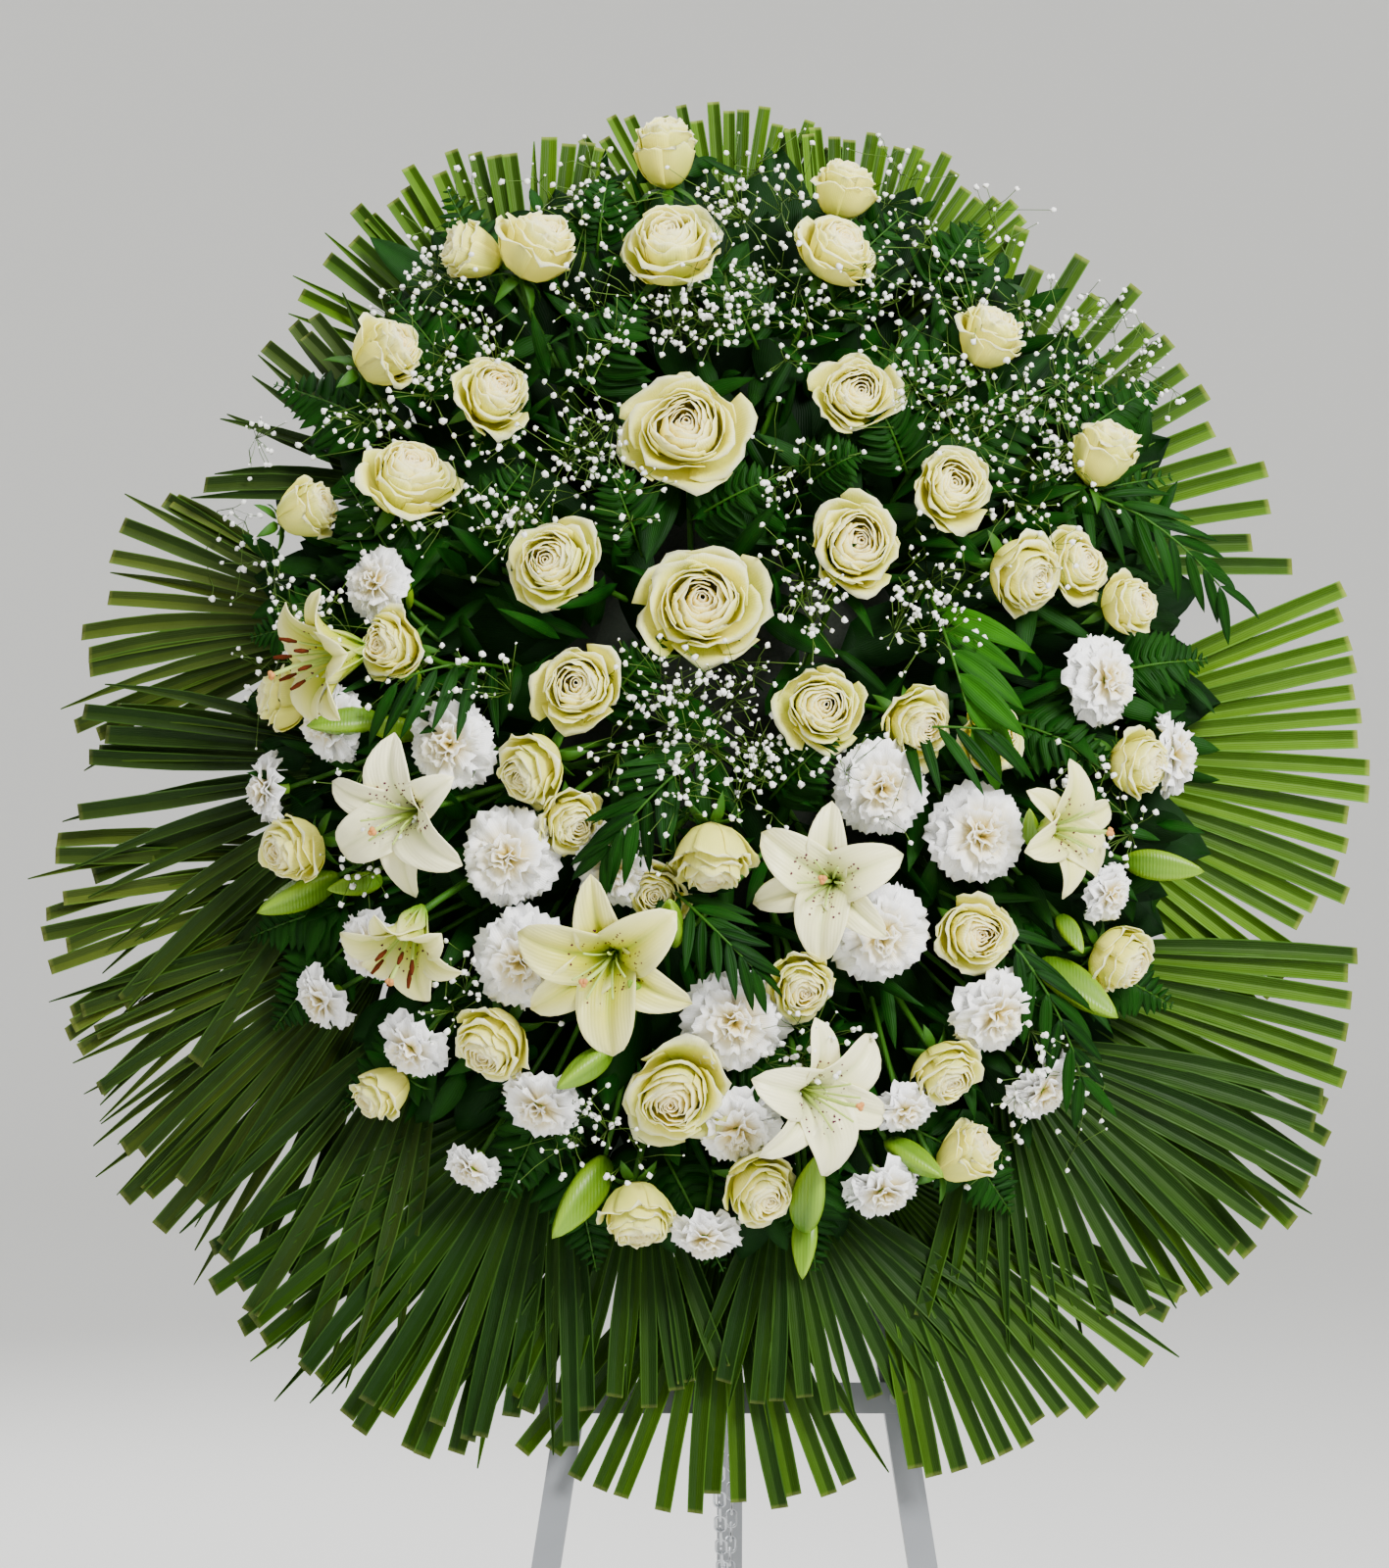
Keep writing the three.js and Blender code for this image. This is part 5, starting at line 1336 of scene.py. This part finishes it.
def build_breath(rng):
    """Baby's breath: sprays scattered about their places."""
    piece = Piece("babys_breath", breath_white, stem_green)
    heads = [head(x, z, size, **more) for groups in (ROSES, CARNATIONS) for flowers in groups.values()
             for x, z, size, more in map(listed, flowers)]
    centres, radii = np.array([h[0] for h in heads]), np.array([h[2] for h in heads])
    for x, z, wide, tall, sprays in BREATH:
        for _ in range(sprays):
            spray_x, spray_z = x + wide * rng.normal(0, 0.6), z + tall * rng.normal(0, 0.6)
            breath_spray(piece, spray_x, spray_z, centres, radii, rng)
    piece.build(FRONT, (), "babys_breath")


# ---------------------------------------------------------------- easel
FINISHES = {
    easel_paint: ("front_leg_left", "front_leg_right", "rear_leg", "crossbar", "top_bracket"),
    bright_zinc: ("crossbar_bolt_left", "crossbar_bolt_right", "hinge_pin", "chain_eye_front",
                  "chain_eye_rear", "upper_strap", "lower_strap"),
    foot_rubber: ("foot_front_left", "foot_front_right", "foot_rear"),
    plywood: ("back_board",),
    wet_foam_painted_shade: ("foam_block",),
}


def build_easel():
    """Gives each carried-over solid its finish."""
    for finish, names in FINISHES.items():
        for name in names:
            mesh = frame["nodes"][name].data
            mesh.materials.clear()
            mesh.materials.append(finish())


LINK_POINTS, WIRE_POINTS = 20, 7  # round a link's loop, and round its wire
LINK_OVER = 1.5  # how far a link reaches past its pitch at each end, in wire radii
LINK_WIDE = 0.31  # half a link's width, in pitches
EYE_IN, EYE_DROP = 7.5, 4.0  # from an eye's side in to its hole's middle, and down to where the chain hangs


def chain_links(path, pitch, wire):
    """Links along a path at an even pitch, every second one turned a quarter about the path.

    A link is a round wire carried along a loop of two straight sides and two half circles.
    """
    travelled = np.concatenate([[0], np.cumsum(np.linalg.norm(np.diff(path, axis=0), axis=1))])
    count = int(round(travelled[-1] / pitch))
    middles = (np.arange(count) + 0.5) * travelled[-1] / count
    centre, ahead = (stacked(*(np.interp(at, travelled, axis) for axis in path.T))
                     for at in (middles, middles + 1))
    along = normal(ahead - centre)
    across = normal(np.cross(along, [1.0, 0.0, 0.01]))
    quarter = (np.arange(count) % 2)[:, None]
    flat = across * quarter + np.cross(along, across) * (1 - quarter)
    up = np.cross(along, flat)[:, None, None]
    along, flat = along[:, None], flat[:, None]
    loop = np.linspace(0, 2 * np.pi, LINK_POINTS, endpoint=False)[:, None]
    half_long, half_wide = pitch * 0.5 + wire * LINK_OVER, pitch * LINK_WIDE
    x = np.cos(loop) * half_wide + np.sign(np.cos(loop)) * (half_long - half_wide)
    middle = along * x + flat * np.sin(loop) * half_wide
    outward = normal(along * np.cos(loop) + flat * np.sin(loop))[:, :, None]
    turn = np.linspace(0, 2 * np.pi, WIRE_POINTS, endpoint=False)[:, None]
    ring = centre[:, None, None] + middle[:, :, None] + wire * (np.cos(turn) * outward + np.sin(turn) * up)
    index = np.arange(ring[..., 0].size).reshape(ring.shape[:3])
    right, below = np.roll(index, -1, 1), np.roll(index, -1, 2)
    quads = np.stack([index, right, np.roll(right, -1, 2), below], -1).reshape(-1, 4)
    return ring.reshape(-1, 3), quads, np.zeros((0, 3), int)


def eye_hole(name, side, inwards):
    """Where the chain hangs in an eye: in from one side along y, and below the middle of its height."""
    box = np.array(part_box(name)) / MM
    x, _, z = box.mean(0)
    return np.array([x, box[side][1] + inwards, z - EYE_DROP])


def build_chain():
    """The slack chain from the crossbar's eye to the rear leg's: a parabola below the line between."""
    start, end = eye_hole("chain_eye_front", 1, -EYE_IN), eye_hole("chain_eye_rear", 0, EYE_IN)
    t = np.linspace(0, 1, 200)[:, None]
    path = start + (end - start) * t - np.array([0, 0, 4 * size_of("chain_sag")]) * t * (1 - t)
    piece = Piece("slack_chain", bright_zinc)
    piece.add(chain_links(path, size_of("link_pitch"), size_of("link_wire")), tone("zinc"))
    made = piece.build(None, ["chain"], "zinc_fitting")
    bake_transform(made)


# ---------------------------------------------------------------- stage
# soft lights: place in metres, what each is turned to, side in metres, watts
LIGHTS = {
    "key": ((1.7, -3.0, 3.1), (0, -0.2, 1.2), 1.3, 285),
    "top": ((0.2, -0.3, 4.2), (0, -0.1, 1.2), 1.8, 60),
    "back": ((-1.6, 3.4, 3.0), (0, 0.2, 1.0), 1.6, 120),
}


SKY = 0.9  # strength of the even light from all round
# the floor's flat radius, bend up into the wall, the wall's top, how far it lies below the feet, and its sides
FLAT, BEND, RISE, BELOW, SWEEP_SIDES = 8600.0, 3000.0, 6500.0, 0.5, 96
SENSOR = 36.0  # the camera's sensor height


def placed_object(name, data, location=(0, 0, 0), rotation=(0, 0, 0)):
    """An object in the scene that carries a mesh, a light or a camera."""
    made = bpy.data.objects.new(name, data)
    made.location, made.rotation_euler = location, rotation
    bpy.context.scene.collection.objects.link(made)
    return made


def build_floor():
    """A round pale floor that sweeps up into a plain wall all round: a profile turned about z."""
    s = np.linspace(0, np.pi / 2, 20)[1:]
    run = np.concatenate([np.linspace(0, 1, 5)[1:] ** 2 * FLAT, FLAT + BEND * np.sin(s), [FLAT + BEND]])
    up = np.concatenate([np.zeros(4), BEND * (1 - np.cos(s)), [RISE]]) - BELOW
    turn = np.linspace(0, 2 * np.pi, SWEEP_SIDES, endpoint=False)[:, None]
    points = stacked(run * np.cos(turn), run * np.sin(turn), up).reshape(-1, 3)
    index = np.arange(len(points)).reshape(SWEEP_SIDES, -1)
    after = np.roll(index, -1, 0)
    quads = np.stack([index[:, :-1], index[:, 1:], after[:, 1:], after[:, :-1]], -1).reshape(-1, 4)
    middle = np.stack([np.full(SWEEP_SIDES, len(points)), index[:, 0], after[:, 0]], -1)
    mesh = bpy.data.meshes.new("floor_sweep")
    points = np.append(points, [[0, 0, -BELOW]], 0) * MM
    mesh.from_pydata(points.tolist(), [], quads.tolist() + middle.tolist())
    mesh.polygons.foreach_set("use_smooth", np.ones(len(mesh.polygons), bool))
    mesh.materials.append(started("floor paper pale", Base_Color=tuple(tone("floor")), Roughness=0.9)[0])
    placed_object("floor_sweep", mesh)


def build_lights():
    """Soft square lights, each turned to its aim, and an even light from all round."""
    for name, (place, aim, side, watts) in LIGHTS.items():
        light = bpy.data.lights.new(name, "AREA")
        light.shape, light.size, light.energy = "SQUARE", side, watts
        to = normal(np.array(aim) - np.array(place))
        turn = (math.acos(-to[2]), 0, math.atan2(to[1], to[0]) - math.pi / 2)
        placed_object(name, light, place, turn).visible_camera = False
    world = bpy.data.worlds.new("studio")
    world.use_nodes = True
    sky = world.node_tree.nodes["Background"]
    sky.inputs["Color"].default_value = (1, 1, 1, 1)
    sky.inputs["Strength"].default_value = SKY
    bpy.context.scene.world = world


def build_camera():
    """A level camera at the viewer's eye, with a lens that takes in the spray and some of the easel."""
    camera = bpy.data.cameras.new("camera")
    camera.sensor_fit, camera.sensor_height = "VERTICAL", SENSOR
    camera.lens = SENSOR * EYE_AWAY / EYE_TALL
    place = np.array([FEET[0] + EYE_X, FEET[1] + MID_DEPTH - EYE_AWAY, EYE_Z]) * MM
    bpy.context.scene.camera = placed_object("camera", camera, place, (math.pi / 2, 0, 0))


# ---------------------------------------------------------------- operators and panel
# each kind of plant has its own seed, so that one can change without the others
SEEDS = {"fans": 3, "roses": 11, "carnations": 17, "lilies": 23, "fronds": 29, "ferns": 31, "leaves": 37,
         "breath": 41}


def chance(kind):
    """The random numbers of one kind of plant."""
    return np.random.default_rng(SEEDS[kind])


class SPRAY_OT_stage(bpy.types.Operator):
    """Sets up the floor, the lights and the camera."""

    bl_idname = "spray.stage"
    bl_label = "Stage"

    def execute(self, context):
        build_floor()
        build_lights()
        build_camera()
        return {"FINISHED"}


class SPRAY_OT_easel(bpy.types.Operator):
    """Paints the easel's solids and hangs the chain."""

    bl_idname = "spray.easel"
    bl_label = "Easel and chain"

    def execute(self, context):
        build_easel()
        build_chain()
        return {"FINISHED"}


class SPRAY_OT_fans(bpy.types.Operator):
    """Builds the fan palm leaves of the outer ring."""

    bl_idname = "spray.fans"
    bl_label = "Palm fans"

    def execute(self, context):
        build_fans(chance("fans"))
        return {"FINISHED"}


class SPRAY_OT_roses(bpy.types.Operator):
    """Builds the bunches of roses."""

    bl_idname = "spray.roses"
    bl_label = "Roses"

    def execute(self, context):
        build_roses(chance("roses"))
        return {"FINISHED"}


class SPRAY_OT_carnations(bpy.types.Operator):
    """Builds the bunches of carnations."""

    bl_idname = "spray.carnations"
    bl_label = "Carnations"

    def execute(self, context):
        build_carnations(chance("carnations"))
        return {"FINISHED"}


class SPRAY_OT_lilies(bpy.types.Operator):
    """Builds the lily stems with their open flowers and buds."""

    bl_idname = "spray.lilies"
    bl_label = "Lilies"

    def execute(self, context):
        build_lilies(chance("lilies"))
        return {"FINISHED"}


class SPRAY_OT_greens(bpy.types.Operator):
    """Builds parlour palm fronds, leatherleaf tips and the leaves over the foam."""

    bl_idname = "spray.greens"
    bl_label = "Greens"

    def execute(self, context):
        build_fronds(chance("fronds"))
        build_ferns(chance("ferns"))
        rng = chance("leaves")
        for build in (build_cover_leaves, build_backing_leaves, build_filler_leaves, build_broad_leaves):
            build(rng)
        return {"FINISHED"}


class SPRAY_OT_breath(bpy.types.Operator):
    """Builds the baby's breath."""

    bl_idname = "spray.breath"
    bl_label = "Baby's breath"

    def execute(self, context):
        build_breath(chance("breath"))
        return {"FINISHED"}


STEPS = (SPRAY_OT_stage, SPRAY_OT_easel, SPRAY_OT_fans, SPRAY_OT_roses, SPRAY_OT_carnations, SPRAY_OT_lilies,
         SPRAY_OT_greens, SPRAY_OT_breath)


class SPRAY_PT_pieces(bpy.types.Panel):
    """Lists the pieces, the sizes and the colours."""

    bl_idname = "SPRAY_PT_pieces"
    bl_label = "Funeral spray"
    bl_space_type = "VIEW_3D"
    bl_region_type = "UI"
    bl_category = "Spray"

    def draw(self, context):
        for step in STEPS:
            self.layout.operator(step.bl_idname)
        for settings in (context.scene.spray_sizes, context.scene.spray_colours):
            for name in settings.__annotations__:
                self.layout.prop(settings, name)


CLASSES = (SpraySizes, SprayColours, *STEPS, SPRAY_PT_pieces)


def register():
    """Registers every class, and hangs the settings on the scene."""
    for made in CLASSES:
        bpy.utils.register_class(made)
    bpy.types.Scene.spray_sizes = bpy.props.PointerProperty(type=SpraySizes)
    bpy.types.Scene.spray_colours = bpy.props.PointerProperty(type=SprayColours)


def unregister():
    """Takes the settings and the classes away again."""
    del bpy.types.Scene.spray_sizes, bpy.types.Scene.spray_colours
    for made in reversed(CLASSES):
        bpy.utils.unregister_class(made)


def main():
    """Builds every piece in order."""
    register()
    for step in STEPS:
        getattr(bpy.ops.spray, step.bl_idname.split(".")[1])()
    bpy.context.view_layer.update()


if __name__ == "__main__":
    main()
